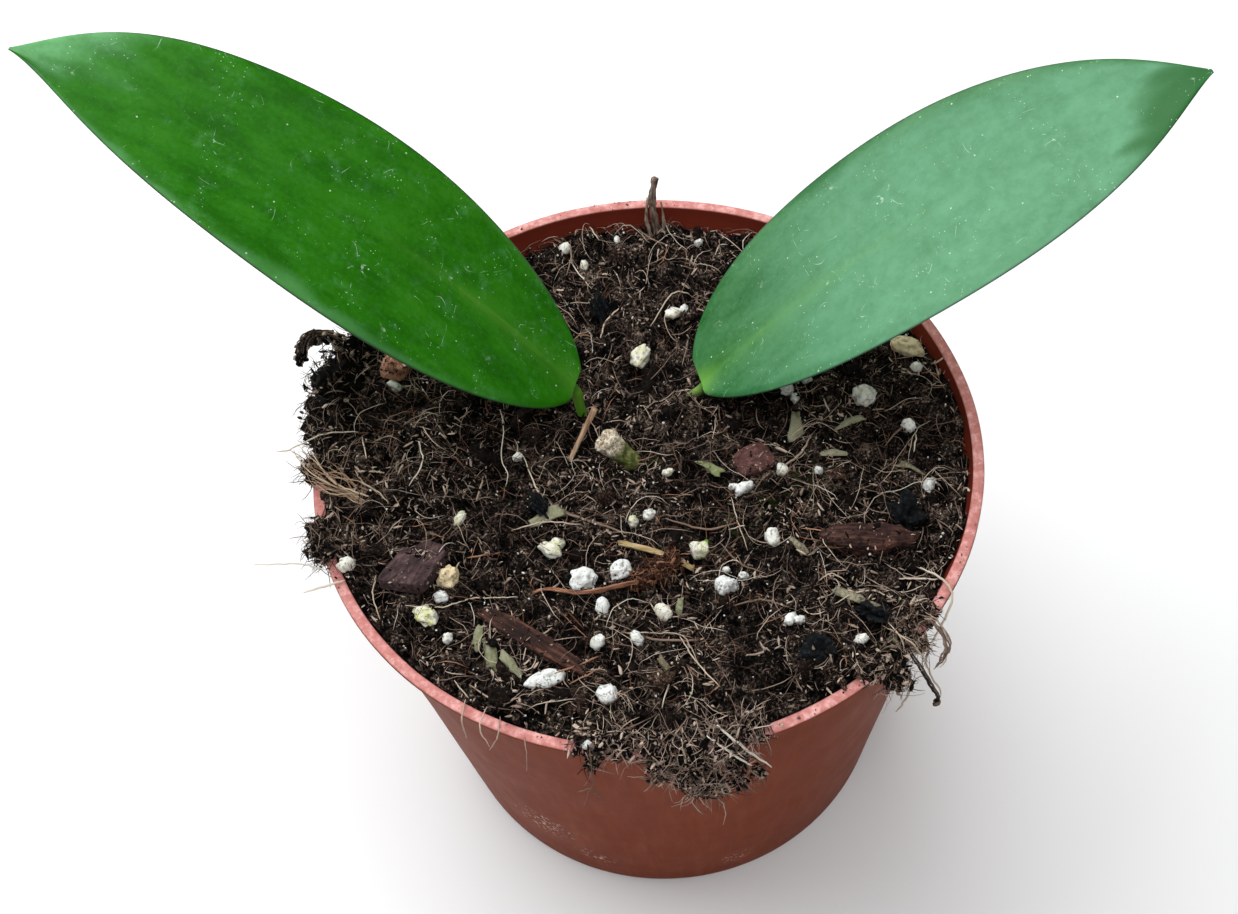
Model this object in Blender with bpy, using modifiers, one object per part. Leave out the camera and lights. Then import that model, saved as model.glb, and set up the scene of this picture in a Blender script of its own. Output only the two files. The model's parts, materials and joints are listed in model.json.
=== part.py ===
"""Potted hoya australis: a cutting with two long leaves, standing in a small plastic nursery pot.

The pot is 105 mm across its rim and 80 mm tall. It is filled past its rim with fibrous peat soil that
holds white perlite grains, bark and wood chips, straws and a twig. Z is up, and the origin is the middle
of the pot's flat underside. Lengths are in metres.
"""
import math
import random

import bmesh
import bpy
from mathutils import Matrix, Vector, noise

MM = 0.001
GAP = 0.3 * MM                      # clearance between pieces that touch

# Pot
POT_HEIGHT = 80.0 * MM
RIM_RADIUS = 52.5 * MM              # outer edge of the lip
RIM_BAND = 1.8 * MM                 # width of the flat top of the rim
LIP_DEPTH = 0.9 * MM
FLARE_RADIUS = 51.5 * MM            # wall just under the lip, outside
FLARE_DEPTH = 7.0 * MM
BODY_TOP_RADIUS = 49.4 * MM
BASE_RADIUS = 39.8 * MM
BASE_CORNER = 1.0 * MM
WALL = 1.0 * MM
FLOOR_THICKNESS = 2.0 * MM
GROOVE_INNER = 18.0 * MM            # raised ring under the base that holds the drain holes
GROOVE_OUTER = 31.0 * MM
GROOVE_DEPTH = 0.8 * MM
DRAIN_HOLES = 8
DRAIN_RADIUS = 3.0 * MM
DRAIN_CHANNELS = 4
CHANNEL_WIDTH = 4.0 * MM
POT_STEPS = 72

# Soil
SOIL_LEVEL = 76.6 * MM
SOIL_GRID = 3.0 * MM                # spacing of the crumb relief
GRID_JITTER = 0.3                   # share of that spacing
SLAB_BOTTOM = -5.0 * MM             # before the pot's inside cuts the slab
HEAP_ROOM = 15.0 * MM               # over the rim, for the heaps
FILL_CLEARANCE = 0.35 * MM          # between the soil and the pot
CRUMBS = 34
CRUMB_RADII_MM = (1.3, 2.4)
SMALL_GRAINS = 22
GRAIN_RADII_MM = (0.8, 1.4)
BIT_REACH = 45.0 * MM               # crumbs and grains lie within this distance of the axis
BIT_MARGIN = 1.6 * MM               # and this far from the pieces set in the soil
STRANDS = 10
STRAND_REACH = 40.0 * MM
STRAND_SPACING_MM = (1.0, 1.5)
STRAND_HALVES_MM = (3.5, 6.0)
STRAND_LIFTS_MM = (0.6, 1.4)
FIBRE_RADIUS = 0.4 * MM
SEED = 26

# Height of the soil: middle x, y, spread along x, y, and rise, all in millimetres
SWELLS_MM = [
    (-47, 6, 15, 22, 5.2),          # heap on the left, higher than the rim
    (-30, -28, 16, 16, 2.4),
    (2, -45, 20, 10, 3.6),          # heap on the front rim
    (33, -37, 12, 10, 3.2),
    (46, -6, 11, 20, 1.2),
    (1, 19, 8, 9, -3.4),            # pit between the leaves
    (0, 44, 22, 8, -1.2),
]

# Clumps that spill over the rim: angle, distance from the axis, height, radius, in degrees and millimetres
LEFT_SPILL = [(150, 50.8, 82.5, 3.4), (156, 51.8, 82.6, 4.0), (162, 52.4, 83.2, 4.2), (168, 51.8, 82.4, 3.8),
              (173, 50.8, 81.8, 3.2), (179, 51.8, 80.9, 2.6), (192, 51.4, 80.8, 2.8), (195.5, 52.2, 80.9, 2.7)]
FRONT_SPILL = [(262, 50.6, 80.6, 2.8), (268, 51.8, 80.9, 3.4), (273, 52.4, 81.2, 3.8), (278, 52.0, 81.0, 3.6),
               (283, 51.0, 80.8, 3.0), (273, 54.2, 77.4, 3.3), (277, 54.2, 74.6, 3.3), (281, 53.6, 77.6, 2.8),
               (275, 53.6, 71.4, 2.6)]
RIGHT_SPILL = [(310, 50.8, 80.8, 3.0), (315, 52.0, 80.8, 3.2), (320, 51.0, 80.6, 2.6), (315, 54.2, 77.6, 2.8)]
BIG_CLUMP_MM = 3.2                  # clumps over this radius get a finer surface

# Leaves: the midrib rises from its base at one slope, arches, and carries a half blade on each side
BLADE_THICKNESS = 0.9 * MM
BLADE_LENGTH_STEPS = 24
BLADE_WIDTH_STEPS = 6
BLADE_ENDS = (0.012, 0.997)         # the blade starts and stops short of its zero widths
RIB_REACH = 0.72                    # share of the blade that has a raised rib underneath
RIB_SINK = 0.75                     # depth of the rib's middle under the upper face, in rib radii
RIB_STEPS = 8
PETIOLE_RADIUS = 1.25 * MM
RIB_END_RADIUS = 0.45 * MM
TROUGH = 0.09                       # rise of the blade's edge over its middle, in half widths
EDGE_WAVE = 0.35 * MM
LEAF_COLOURS = {"leaf_left": (0.03, 0.16, 0.015), "leaf_right": (0.06, 0.22, 0.08)}
LEAVES = {
    "leaf_left": {
        "base": (-9.7, 10.1, 83.5), "azimuth": 163.3, "rise": 37.0, "roll": -5.3, "length": 97.7,
        "arch": 7.7, "sway": -1.0, "tip_sway": -1.2, "sides": ((16.3, 0.66, 1.05), (17.3, 0.63, 0.66)),
        "petiole": [(-3.2, 8.9, 62.5), (-6.2, 9.4, 66.5), (-9.0, 9.8, 72.5), (-9.9, 10.0, 78.0)],
    },
    "leaf_right": {
        "base": (9.0, 12.2, 78.5), "azimuth": 10.9, "rise": 31.0, "roll": -0.9, "length": 91.8,
        "arch": 6.3, "sway": 1.5, "tip_sway": -1.5, "sides": ((18.0, 0.43, 0.62), (18.0, 0.71, 0.77)),
        "petiole": [(3.1, 9.0, 62.5), (4.4, 10.4, 67.5), (6.2, 11.5, 73.0), (7.6, 11.9, 76.2)],
    },
}

# Old stem of the cutting: its cut end shows, the rest is buried
STEM_PATH_MM = [(0.0, 7.2, 57.0), (0.0, 6.6, 63.0), (-0.6, 3.8, 69.5), (-2.6, 1.7, 74.6), (-6.4, 3.2, 79.2)]
STEM_RADIUS = 1.6 * MM
CALLUS_RADIUS = 2.1 * MM

# Pieces lying in the soil: middle x, y, lift of the middle over the soil, length, width, thickness,
# turn, tilt along, tilt across, in millimetres and degrees
CHIPS = {
    "bark_dark": (-36.0, -18.5, 0.9, 11.0, 7.6, 2.2, 62, 16, -8),
    "bark_pink": (-39.0, 19.4, 1.2, 7.0, 4.8, 3.4, 75, 22, 10),
    "bark_red": (16.6, -1.6, 0.8, 6.6, 5.4, 3.0, 20, -6, 8),
    "bark_strip": (-19.0, -32.4, 0.7, 20.0, 3.0, 1.9, -37, 2, 6),
    "wood_piece": (32.5, -18.8, 0.6, 15.5, 5.0, 3.4, -5, 3, -4),
}
# Large perlite grains and a pale husk: middle x, y, lift, length, width, thickness, turn
GRAINS = {
    "husk": (44.0, 17.4, 0.6, 5.8, 3.5, 3.0, -28),
    "perlite_right": (35.6, 8.0, 0.6, 3.8, 3.5, 3.2, 15),
    "perlite_back": (0.4, 23.4, 0.8, 4.6, 3.2, 3.0, 70),
    "perlite_centre": (-11.2, -21.6, 0.7, 4.2, 3.8, 3.2, 0),
    "perlite_middle": (-5.6, -20.4, 0.6, 3.9, 3.0, 2.8, 30),
    "perlite_front": (-8.6, -42.2, 0.7, 3.1, 2.9, 2.7, 0),
    "shell_flake": (-17.6, -38.9, 0.6, 6.4, 3.0, 2.4, 12),
    "perlite_white": (9.6, -24.6, 0.6, 3.4, 2.2, 2.4, 80),
    "perlite_green": (-34.6, -27.4, 0.6, 4.4, 3.0, 2.6, -50),
    "grain_tan": (-31.4, -20.8, 0.6, 3.8, 3.2, 2.8, 60),
}
# Straws and roots lying on the soil or standing in it, as paths in millimetres, and their radius
STRAWS = {
    "stick": ([(-13.4, -0.8, 74.4), (-12.0, 1.2, 77.6), (-7.5, 5.6, 84.4)], 0.55),
    "straw": ([(-5.6, -14.9, 77.0), (-4.2, -15.9, 78.0), (0.4, -18.2, 78.6), (5.6, -20.8, 77.4)], 0.5),
    "root": ([(-20.4, -23.6, 77.4), (-17.0, -23.4, 79.5), (-11.0, -25.2, 80.6), (-3.6, -23.4, 79.2),
              (-0.4, -22.4, 77.2)], 0.45),
    "twig": ([(6.0, 45.6, 69.0), (5.4, 46.6, 76.0), (4.6, 48.4, 83.0), (5.4, 49.4, 88.4)], 1.0),
}


def v_mm(point):
    """A point given in millimetres, in metres."""
    return Vector(point) * MM


def clear_scene():
    for item in list(bpy.data.objects):
        bpy.data.objects.remove(item, do_unlink=True)


def make_collection(name):
    collection = bpy.data.collections.new(name)
    bpy.context.scene.collection.children.link(collection)
    return collection


def add_object(name, mesh, collection):
    item = bpy.data.objects.new(name, mesh)
    collection.objects.link(item)
    return item


def mesh_from(bm, name):
    mesh = bpy.data.meshes.new(name)
    bm.to_mesh(mesh)
    bm.free()
    return mesh


def make_material(name, colour, roughness, metallic=0.0):
    material = bpy.data.materials.new(name)
    material.use_nodes = True
    shader = material.node_tree.nodes["Principled BSDF"]
    shader.inputs["Base Color"].default_value = (*colour, 1.0)
    shader.inputs["Roughness"].default_value = roughness
    shader.inputs["Metallic"].default_value = metallic
    material.diffuse_color = (*colour, 1.0)
    return material


def smooth_round(item, degrees=40):
    item.data.shade_smooth()
    item.data.set_sharp_from_angle(angle=math.radians(degrees))


def bake_modifiers(item):
    """Replaces the object's mesh by its evaluated one and drops the modifiers."""
    bpy.context.view_layer.update()
    graph = bpy.context.evaluated_depsgraph_get()
    old = item.data
    item.data = bpy.data.meshes.new_from_object(item.evaluated_get(graph))
    item.modifiers.clear()
    bpy.data.meshes.remove(old)


def add_boolean(item, operation, operand, solver="EXACT"):
    modifier = item.modifiers.new(operation.lower(), "BOOLEAN")
    modifier.operation = operation
    modifier.solver = solver
    if isinstance(operand, bpy.types.Collection):
        modifier.operand_type = "COLLECTION"
        modifier.collection = operand
    else:
        modifier.object = operand
    return modifier


def hide_cutter(item):
    item.hide_render = True
    item.display_type = "WIRE"


def remove_collection(collection):
    for item in list(collection.objects):
        bpy.data.objects.remove(item, do_unlink=True)
    bpy.data.collections.remove(collection)


def turned(name, profile, collection, ring=False):
    """A turned body from a profile of (radius, height) that runs down its outer side; a ring's is closed."""
    bm = bmesh.new()
    points = [bm.verts.new((radius, 0.0, height)) for radius, height in profile]
    for a, b in zip(points, points[1:] + points[:1] if ring else points[1:]):
        bm.edges.new((a, b))
    item = add_object(name, mesh_from(bm, name), collection)
    screw = item.modifiers.new("turn", "SCREW")
    screw.axis = "Z"
    screw.angle = 2 * math.pi
    screw.steps = POT_STEPS
    screw.render_steps = POT_STEPS
    screw.use_merge_vertices = True
    screw.merge_threshold = 0.00001
    return item


def tube(name, points, radii, collection, sides=2):
    """A tube mesh along a polyline, with a radius at each point and filled, welded ends."""
    curve = bpy.data.curves.new(name, "CURVE")
    curve.dimensions = "3D"
    curve.bevel_depth = 1.0
    curve.bevel_resolution = sides
    curve.use_fill_caps = True
    spline = curve.splines.new("POLY")
    spline.points.add(len(points) - 1)
    for place, point, radius in zip(spline.points, points, radii):
        place.co = (*point, 1.0)
        place.radius = radius
    guide = add_object(name + "_guide", curve, collection)
    bpy.context.view_layer.update()
    graph = bpy.context.evaluated_depsgraph_get()
    mesh = bpy.data.meshes.new_from_object(guide.evaluated_get(graph))
    mesh.transform(guide.matrix_world)
    bpy.data.objects.remove(guide, do_unlink=True)
    bpy.data.curves.remove(curve)
    bm = bmesh.new()
    bm.from_mesh(mesh)
    bmesh.ops.remove_doubles(bm, verts=bm.verts, dist=0.00001)
    bmesh.ops.recalc_face_normals(bm, faces=bm.faces)
    bpy.data.meshes.remove(mesh)
    return add_object(name, mesh_from(bm, name), collection)


def smooth_path(points, steps):
    """Points along a smooth curve through the given ones, which it passes in turn."""
    ends = [points[0] * 2 - points[1]] + list(points) + [points[-1] * 2 - points[-2]]
    path = []
    for a, b, c, d in zip(ends, ends[1:], ends[2:], ends[3:]):
        for step in range(steps):
            t = step / steps
            path.append(0.5 * (2 * b + (c - a) * t + (2 * a - 5 * b + 4 * c - d) * t ** 2
                               + (3 * b - a - 3 * c + d) * t ** 3))
    return path + [points[-1]]


def pot_outside(grow=0.0):
    """The pot's outer side from lip to foot, as (radius, height), moved out by grow."""
    return [
        (RIM_RADIUS + grow, POT_HEIGHT),
        (RIM_RADIUS + grow, POT_HEIGHT - LIP_DEPTH - grow),
        (FLARE_RADIUS + grow, POT_HEIGHT - LIP_DEPTH - grow),
        (BODY_TOP_RADIUS + grow, POT_HEIGHT - FLARE_DEPTH),
        (BASE_RADIUS + grow, BASE_CORNER),
    ]


def pot_inside(grow=0.0):
    """The pot's inner side from floor to rim, as (radius, height), moved in by grow."""
    mouth = RIM_RADIUS - RIM_BAND - grow
    return [
        (BASE_RADIUS - WALL - grow, FLOOR_THICKNESS + grow),
        (BODY_TOP_RADIUS - WALL - grow, POT_HEIGHT - FLARE_DEPTH),
        (mouth, POT_HEIGHT - LIP_DEPTH),
        (mouth, POT_HEIGHT),
    ]


def make_pot(collection):
    foot = [(BASE_RADIUS - 0.3 * BASE_CORNER, 0.3 * BASE_CORNER), (BASE_RADIUS - BASE_CORNER, 0.0),
            (GROOVE_OUTER + GROOVE_DEPTH, 0.0), (GROOVE_OUTER, GROOVE_DEPTH),
            (GROOVE_INNER, GROOVE_DEPTH), (GROOVE_INNER - GROOVE_DEPTH, 0.0), (0.0, 0.0)]
    pot = turned("pot", [(0.0, FLOOR_THICKNESS)] + pot_inside() + pot_outside() + foot, collection)
    drains = make_collection("drains")
    drain_ring = (GROOVE_INNER + GROOVE_OUTER) / 2
    for index in range(DRAIN_HOLES):
        angle = 2 * math.pi * index / DRAIN_HOLES
        bm = bmesh.new()
        bmesh.ops.create_cone(bm, cap_ends=True, segments=20, radius1=DRAIN_RADIUS, radius2=DRAIN_RADIUS,
                              depth=4 * FLOOR_THICKNESS)
        hole = add_object(f"drain_{index}", mesh_from(bm, "drain"), drains)
        hole.location = (drain_ring * math.cos(angle), drain_ring * math.sin(angle), 0.0)
    for index in range(DRAIN_CHANNELS):
        angle = 2 * math.pi * (index + 0.5) / DRAIN_CHANNELS
        reach = BASE_RADIUS + 2 * MM - GROOVE_OUTER
        bm = bmesh.new()
        bmesh.ops.create_cube(bm, size=1.0)
        bmesh.ops.scale(bm, verts=bm.verts, vec=(reach, CHANNEL_WIDTH, 2 * GROOVE_DEPTH))
        channel = add_object(f"channel_{index}", mesh_from(bm, "channel"), drains)
        middle = GROOVE_OUTER + reach / 2
        channel.location = (middle * math.cos(angle), middle * math.sin(angle), -0.1 * MM)
        channel.rotation_euler = (0.0, 0.0, angle)
    add_boolean(pot, "DIFFERENCE", drains)
    bake_modifiers(pot)
    remove_collection(drains)
    pot.data.materials.append(make_material("pot_plastic", (0.31, 0.085, 0.06), 0.42))
    smooth_round(pot, 30)
    return pot


def soil_height(x, y):
    """Height of the soil surface at a place, with its heaps, pits and crumbs."""
    height = SOIL_LEVEL
    for middle_x, middle_y, spread_x, spread_y, rise in SWELLS_MM:
        across = (x / MM - middle_x) / spread_x
        along = (y / MM - middle_y) / spread_y
        height += rise * MM * math.exp(-0.5 * (across ** 2 + along ** 2))
    coarse = noise.noise(Vector((x, y, 0.013)) / (7.5 * MM))
    fine = noise.noise(Vector((x, y, 0.041)) / (3.6 * MM))
    return height + (1.1 * coarse + 0.9 * fine) * MM


def make_slab(collection):
    """A thick slab whose top is the soil's relief."""
    half = RIM_RADIUS + 2 * SOIL_GRID
    count = round(2 * half / SOIL_GRID)
    draw = random.Random(SEED)
    bm = bmesh.new()
    bmesh.ops.create_grid(bm, x_segments=count, y_segments=count, size=half)
    for vert in bm.verts:
        vert.co.x += draw.uniform(-GRID_JITTER, GRID_JITTER) * SOIL_GRID
        vert.co.y += draw.uniform(-GRID_JITTER, GRID_JITTER) * SOIL_GRID
        vert.co.z = soil_height(vert.co.x, vert.co.y)
    under = bmesh.ops.extrude_face_region(bm, geom=list(bm.faces))["geom"]
    for vert in under:
        if isinstance(vert, bmesh.types.BMVert):
            vert.co.z = SLAB_BOTTOM
    bmesh.ops.triangulate(bm, faces=bm.faces)
    bmesh.ops.recalc_face_normals(bm, faces=bm.faces)
    return add_object("soil", mesh_from(bm, "soil"), collection)


def make_plug(collection):
    """The space inside the pot, carried up past the rim where the soil is heaped."""
    inside = pot_inside(FILL_CLEARANCE)
    top = POT_HEIGHT + HEAP_ROOM
    profile = [(0.0, top), (inside[-1][0], top)] + inside[::-1][1:] + [(0.0, inside[0][1])]
    return turned("plug", profile, collection)


def make_pot_clearance(collection):
    """The upper wall and rim with clearance all round, to keep spilled soil off them."""
    outside = pot_outside(FILL_CLEARANCE)[:-1]
    inside = pot_inside(FILL_CLEARANCE)[2:]
    top = POT_HEIGHT + FILL_CLEARANCE
    outside[0] = (outside[0][0], top)
    inside[-1] = (inside[-1][0], top)
    within_wall = (BODY_TOP_RADIUS - WALL / 2, POT_HEIGHT - FLARE_DEPTH)
    return turned("pot_clearance", [within_wall] + inside + outside, collection, ring=True)


def lump_mesh(radii, draw, detail, rough):
    """A rough, faceted lump with its own half sizes."""
    bm = bmesh.new()
    bmesh.ops.create_icosphere(bm, subdivisions=detail, radius=1.0)
    offset = Vector((draw.uniform(0, 50), draw.uniform(0, 50), draw.uniform(0, 50)))
    for vert in bm.verts:
        vert.co *= 1.0 + rough * noise.noise(vert.co * 1.7 + offset)
        vert.co = Vector((vert.co.x * radii[0], vert.co.y * radii[1], vert.co.z * radii[2]))
    return bm


def keep_outs():
    """Places and radii that crumbs stay clear of: everything that is set in the soil."""
    places = []
    for data in list(CHIPS.values()) + list(GRAINS.values()):
        turn = math.radians(data[6])
        half = data[3] / 2
        for share in (-0.6, 0.0, 0.6):
            x = data[0] + share * half * math.cos(turn)
            y = data[1] + share * half * math.sin(turn)
            places.append((x * MM, y * MM, max(data[4] / 2, 0.45 * half) * MM))
    for path, radius in STRAWS.values():
        for point in smooth_path([v_mm(place) for place in path], 4):
            places.append((point.x, point.y, radius * MM))
    for point in smooth_path([v_mm(place) for place in STEM_PATH_MM], 3):
        places.append((point.x, point.y, STEM_RADIUS))
    for leaf in LEAVES.values():
        for place in leaf["petiole"] + [leaf["base"]]:
            places.append((place[0] * MM, place[1] * MM, PETIOLE_RADIUS))
    return places


def scatter(draw, count, reach, radius_range, places):
    """Seeded places on the soil that keep clear of each other and of the pieces set in it."""
    found = []
    taken = list(places)
    for _ in range(count * 60):
        if len(found) == count:
            break
        distance = reach * math.sqrt(draw.random())
        angle = draw.uniform(0, 2 * math.pi)
        radius = draw.uniform(*radius_range) * MM
        x = distance * math.cos(angle)
        y = distance * math.sin(angle)
        if all(math.hypot(x - px, y - py) > radius + pr + BIT_MARGIN for px, py, pr in taken):
            found.append((x, y, radius))
            taken.append((x, y, radius * 0.4))
    return found


def add_crumbs(bits, draw):
    places = keep_outs()
    for index, (x, y, radius) in enumerate(scatter(draw, CRUMBS, BIT_REACH, CRUMB_RADII_MM, places)):
        bm = lump_mesh((radius, radius * draw.uniform(0.6, 1.0), radius * 0.8), draw, 1, 0.5)
        crumb = add_object(f"crumb_{index}", mesh_from(bm, "crumb"), bits)
        crumb.location = (x, y, soil_height(x, y) + 0.1 * radius)
        crumb.rotation_euler = (0.0, 0.0, draw.uniform(0, math.pi))
    for index, (x, y, radius) in enumerate(scatter(draw, SMALL_GRAINS, BIT_REACH, GRAIN_RADII_MM, places)):
        bm = lump_mesh((radius, radius, radius), draw, 1, 0.3)
        grain = add_object(f"grain_{index}", mesh_from(bm, "grain"), bits)
        grain.location = (x, y, soil_height(x, y) + 0.35 * radius)
        grain.rotation_euler = (draw.uniform(0, 3), draw.uniform(0, 3), 0.0)


def add_spill(bits, draw):
    """Clumps that bridge the rim and hang outside it."""
    for index, (angle, distance, height, radius) in enumerate(LEFT_SPILL + FRONT_SPILL + RIGHT_SPILL):
        turn = math.radians(angle)
        detail = 2 if radius > BIG_CLUMP_MM else 1
        bm = lump_mesh((radius * MM, radius * MM * 0.95, radius * MM * 0.85), draw, detail, 0.7)
        clump = add_object(f"clump_{index}", mesh_from(bm, "clump"), bits)
        clump.location = (distance * MM * math.cos(turn), distance * MM * math.sin(turn), height * MM)
        clump.rotation_euler = (0.0, 0.0, turn)


def add_strands(bits, draw):
    """Root fibres that arch over the soil with both ends sunk in it."""
    places = keep_outs()
    for index, (x, y, _) in enumerate(scatter(draw, STRANDS, STRAND_REACH, STRAND_SPACING_MM, places)):
        turn = draw.uniform(0, math.pi)
        half = draw.uniform(*STRAND_HALVES_MM) * MM
        lift = draw.uniform(*STRAND_LIFTS_MM) * MM
        points = []
        for share in (-1.0, -0.6, 0.0, 0.6, 1.0):
            place_x = x + share * half * math.cos(turn) + 0.8 * MM * math.sin(3 * share) * math.sin(turn)
            place_y = y + share * half * math.sin(turn)
            height = soil_height(place_x, place_y) + lift * (1 - share ** 2) - 1.2 * MM * abs(share) ** 3
            points.append(Vector((place_x, place_y, height)))
        tube(f"strand_{index}", points, [FIBRE_RADIUS] * len(points), bits, 0)


def keep_main_body(item):
    """Drops loose scraps and the walls of sealed hollows, which leaves the one main body."""
    bm = bmesh.new()
    bm.from_mesh(item.data)
    unseen = set(bm.verts)
    groups = []
    while unseen:
        stack = [unseen.pop()]
        group = [stack[0]]
        while stack:
            for edge in stack.pop().link_edges:
                for vert in edge.verts:
                    if vert in unseen:
                        unseen.remove(vert)
                        stack.append(vert)
                        group.append(vert)
        groups.append(group)
    groups.sort(key=len, reverse=True)
    for group in groups[1:]:
        bmesh.ops.delete(bm, geom=group, context="VERTS")
    bm.to_mesh(item.data)
    bm.free()


def make_soil(collection, cutters, pockets):
    draw = random.Random(SEED + 1)
    soil = make_slab(collection)
    plug = make_plug(cutters)
    add_boolean(soil, "INTERSECT", plug)
    bake_modifiers(soil)
    bits = make_collection("soil_bits")
    add_crumbs(bits, draw)
    add_spill(bits, draw)
    add_strands(bits, draw)
    add_boolean(soil, "UNION", bits)
    bake_modifiers(soil)
    remove_collection(bits)
    clearance = make_pot_clearance(cutters)
    add_boolean(soil, "DIFFERENCE", clearance)
    bake_modifiers(soil)
    add_boolean(soil, "DIFFERENCE", pockets, "MANIFOLD")    # pockets cross each other, which stops EXACT
    bake_modifiers(soil)
    keep_main_body(soil)
    for cutter in (plug, clearance):
        hide_cutter(cutter)
    soil.data.materials.clear()
    soil.data.materials.append(make_material("peat_soil", (0.03, 0.02, 0.016), 0.95))
    return soil


def leaf_frame(leaf):
    """The blade's three directions: along the midrib's chord, across it, and out of its upper face."""
    azimuth = math.radians(leaf["azimuth"])
    rise = math.radians(leaf["rise"])
    roll = math.radians(leaf["roll"])
    along = Vector((math.cos(azimuth) * math.cos(rise), math.sin(azimuth) * math.cos(rise), math.sin(rise)))
    level = Vector((-math.sin(azimuth), math.cos(azimuth), 0.0))
    up = along.cross(level)
    across = math.cos(roll) * level + math.sin(roll) * up
    return along, across, along.cross(across)


def half_width(side, t):
    """Width of one half of the blade at a share t of its length, in millimetres."""
    width, base_power, tip_power = side
    peak_at = base_power / (base_power + tip_power)
    peak = peak_at ** base_power * (1 - peak_at) ** tip_power
    point = 1 - 0.3 * math.exp(-(1 - t) / 0.05)
    return width * t ** base_power * (1 - t) ** tip_power / peak * point


def blade_point(leaf, t, side_share):
    """A point of the blade's upper face: t runs from base to tip, side_share from -1 to 1 across."""
    along, across, out = leaf_frame(leaf)
    middle = v_mm(leaf["base"]) + along * leaf["length"] * MM * t
    middle += out * 4 * leaf["arch"] * MM * t * (1 - t)
    middle += across * (4 * leaf["sway"] * t * (1 - t) + leaf["tip_sway"] * t ** 5) * MM
    side = leaf["sides"][0] if side_share > 0 else leaf["sides"][1]
    width = half_width(side, t) * MM
    trough = TROUGH * width * side_share ** 2
    wave = EDGE_WAVE * math.sin(9 * t + 2 * side_share) * abs(side_share) ** 3 * math.sin(math.pi * t)
    return middle + across * width * side_share + out * (trough + wave)


def make_leaf(name, collection, cutters):
    leaf = LEAVES[name]
    bm = bmesh.new()
    bmesh.ops.create_grid(bm, x_segments=BLADE_LENGTH_STEPS, y_segments=BLADE_WIDTH_STEPS, size=1.0)
    start, end = BLADE_ENDS
    for vert in bm.verts:
        t = start + (end - start) * (vert.co.x + 1) / 2
        vert.co = blade_point(leaf, t, vert.co.y)
    bmesh.ops.triangulate(bm, faces=bm.faces)
    blade = add_object(name, mesh_from(bm, name), collection)
    shell = blade.modifiers.new("thickness", "SOLIDIFY")
    shell.thickness = BLADE_THICKNESS
    shell.offset = -1.0
    bake_modifiers(blade)
    out = leaf_frame(leaf)[2]
    shares = [step / RIB_STEPS for step in range(RIB_STEPS + 1)]
    thinning = [PETIOLE_RADIUS + (RIB_END_RADIUS - PETIOLE_RADIUS) * share ** 0.6 for share in shares]
    rib = [blade_point(leaf, RIB_REACH * share, 0.0) - out * (RIB_SINK * radius + BLADE_THICKNESS / 3)
           for share, radius in zip(shares, thinning)]
    petiole = smooth_path([v_mm(point) for point in leaf["petiole"]] + [rib[0]], 3)
    points = petiole + rib[1:]
    radii = [PETIOLE_RADIUS] * (len(petiole) - 1) + thinning
    stalk = tube(name + "_stalk", points, radii, cutters, 1)
    add_boolean(blade, "UNION", stalk)
    bake_modifiers(blade)
    bpy.data.objects.remove(stalk, do_unlink=True)
    blade.data.materials.clear()
    blade.data.materials.append(make_material(name + "_green", LEAF_COLOURS[name], 0.35))
    smooth_round(blade, 50)
    return blade


def make_petiole_pocket(name, pockets):
    leaf = LEAVES[name]
    points = smooth_path([v_mm(point) for point in leaf["petiole"]] + [v_mm(leaf["base"])], 3)
    start = points[0] - (points[1] - points[0]).normalized() * GAP
    points = [start] + points[1:]
    tube(name + "_pocket", points, [PETIOLE_RADIUS + GAP] * len(points), pockets, 1)


def stem_radii(count, grow):
    """The stem swells to its callus at the cut end."""
    radii = []
    for index in range(count):
        near_end = max(0.0, 1 - (count - 1 - index) / 2)
        radii.append(STEM_RADIUS + (CALLUS_RADIUS - STEM_RADIUS) * near_end + grow)
    return radii


def make_stem(collection):
    points = smooth_path([v_mm(point) for point in STEM_PATH_MM], 3)
    stem = tube("stem", points, stem_radii(len(points), 0.0), collection, 2)
    stem.data.materials.append(make_material("stem_green", (0.12, 0.16, 0.05), 0.6))
    smooth_round(stem, 50)
    return stem


def make_stem_pocket(pockets):
    points = smooth_path([v_mm(point) for point in STEM_PATH_MM], 3)
    start = points[0] - (points[1] - points[0]).normalized() * GAP
    end = points[-1] + (points[-1] - points[-2]).normalized() * 3 * MM
    tube("stem_pocket", [start] + points[1:] + [end], stem_radii(len(points) + 1, GAP), pockets, 2)


def chip_bmesh(data, seed, grow):
    """A broken chip: a box with uneven corners, cut edges and a turn and tilt of its own."""
    draw = random.Random(seed)
    length, width, thickness = (value * MM for value in data[3:6])
    bm = bmesh.new()
    bmesh.ops.create_cube(bm, size=1.0)
    for vert in bm.verts:
        vert.co.x *= length * draw.uniform(0.82, 1.0) + 2 * grow
        vert.co.y *= width * draw.uniform(0.7, 1.0) + 2 * grow
        vert.co.z *= thickness * draw.uniform(0.75, 1.0) + 2 * grow
    bmesh.ops.bevel(bm, geom=list(bm.edges), offset=0.16 * thickness, segments=1, affect="EDGES")
    place_in_soil(bm, data, math.radians(data[7]), math.radians(data[8]))
    return bm


def grain_bmesh(data, seed, grow):
    draw = random.Random(seed)
    radii = [value * MM / 2 + grow for value in data[3:6]]
    bm = lump_mesh(radii, draw, 1, 0.28)
    place_in_soil(bm, data, 0.0, 0.0)
    return bm


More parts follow.
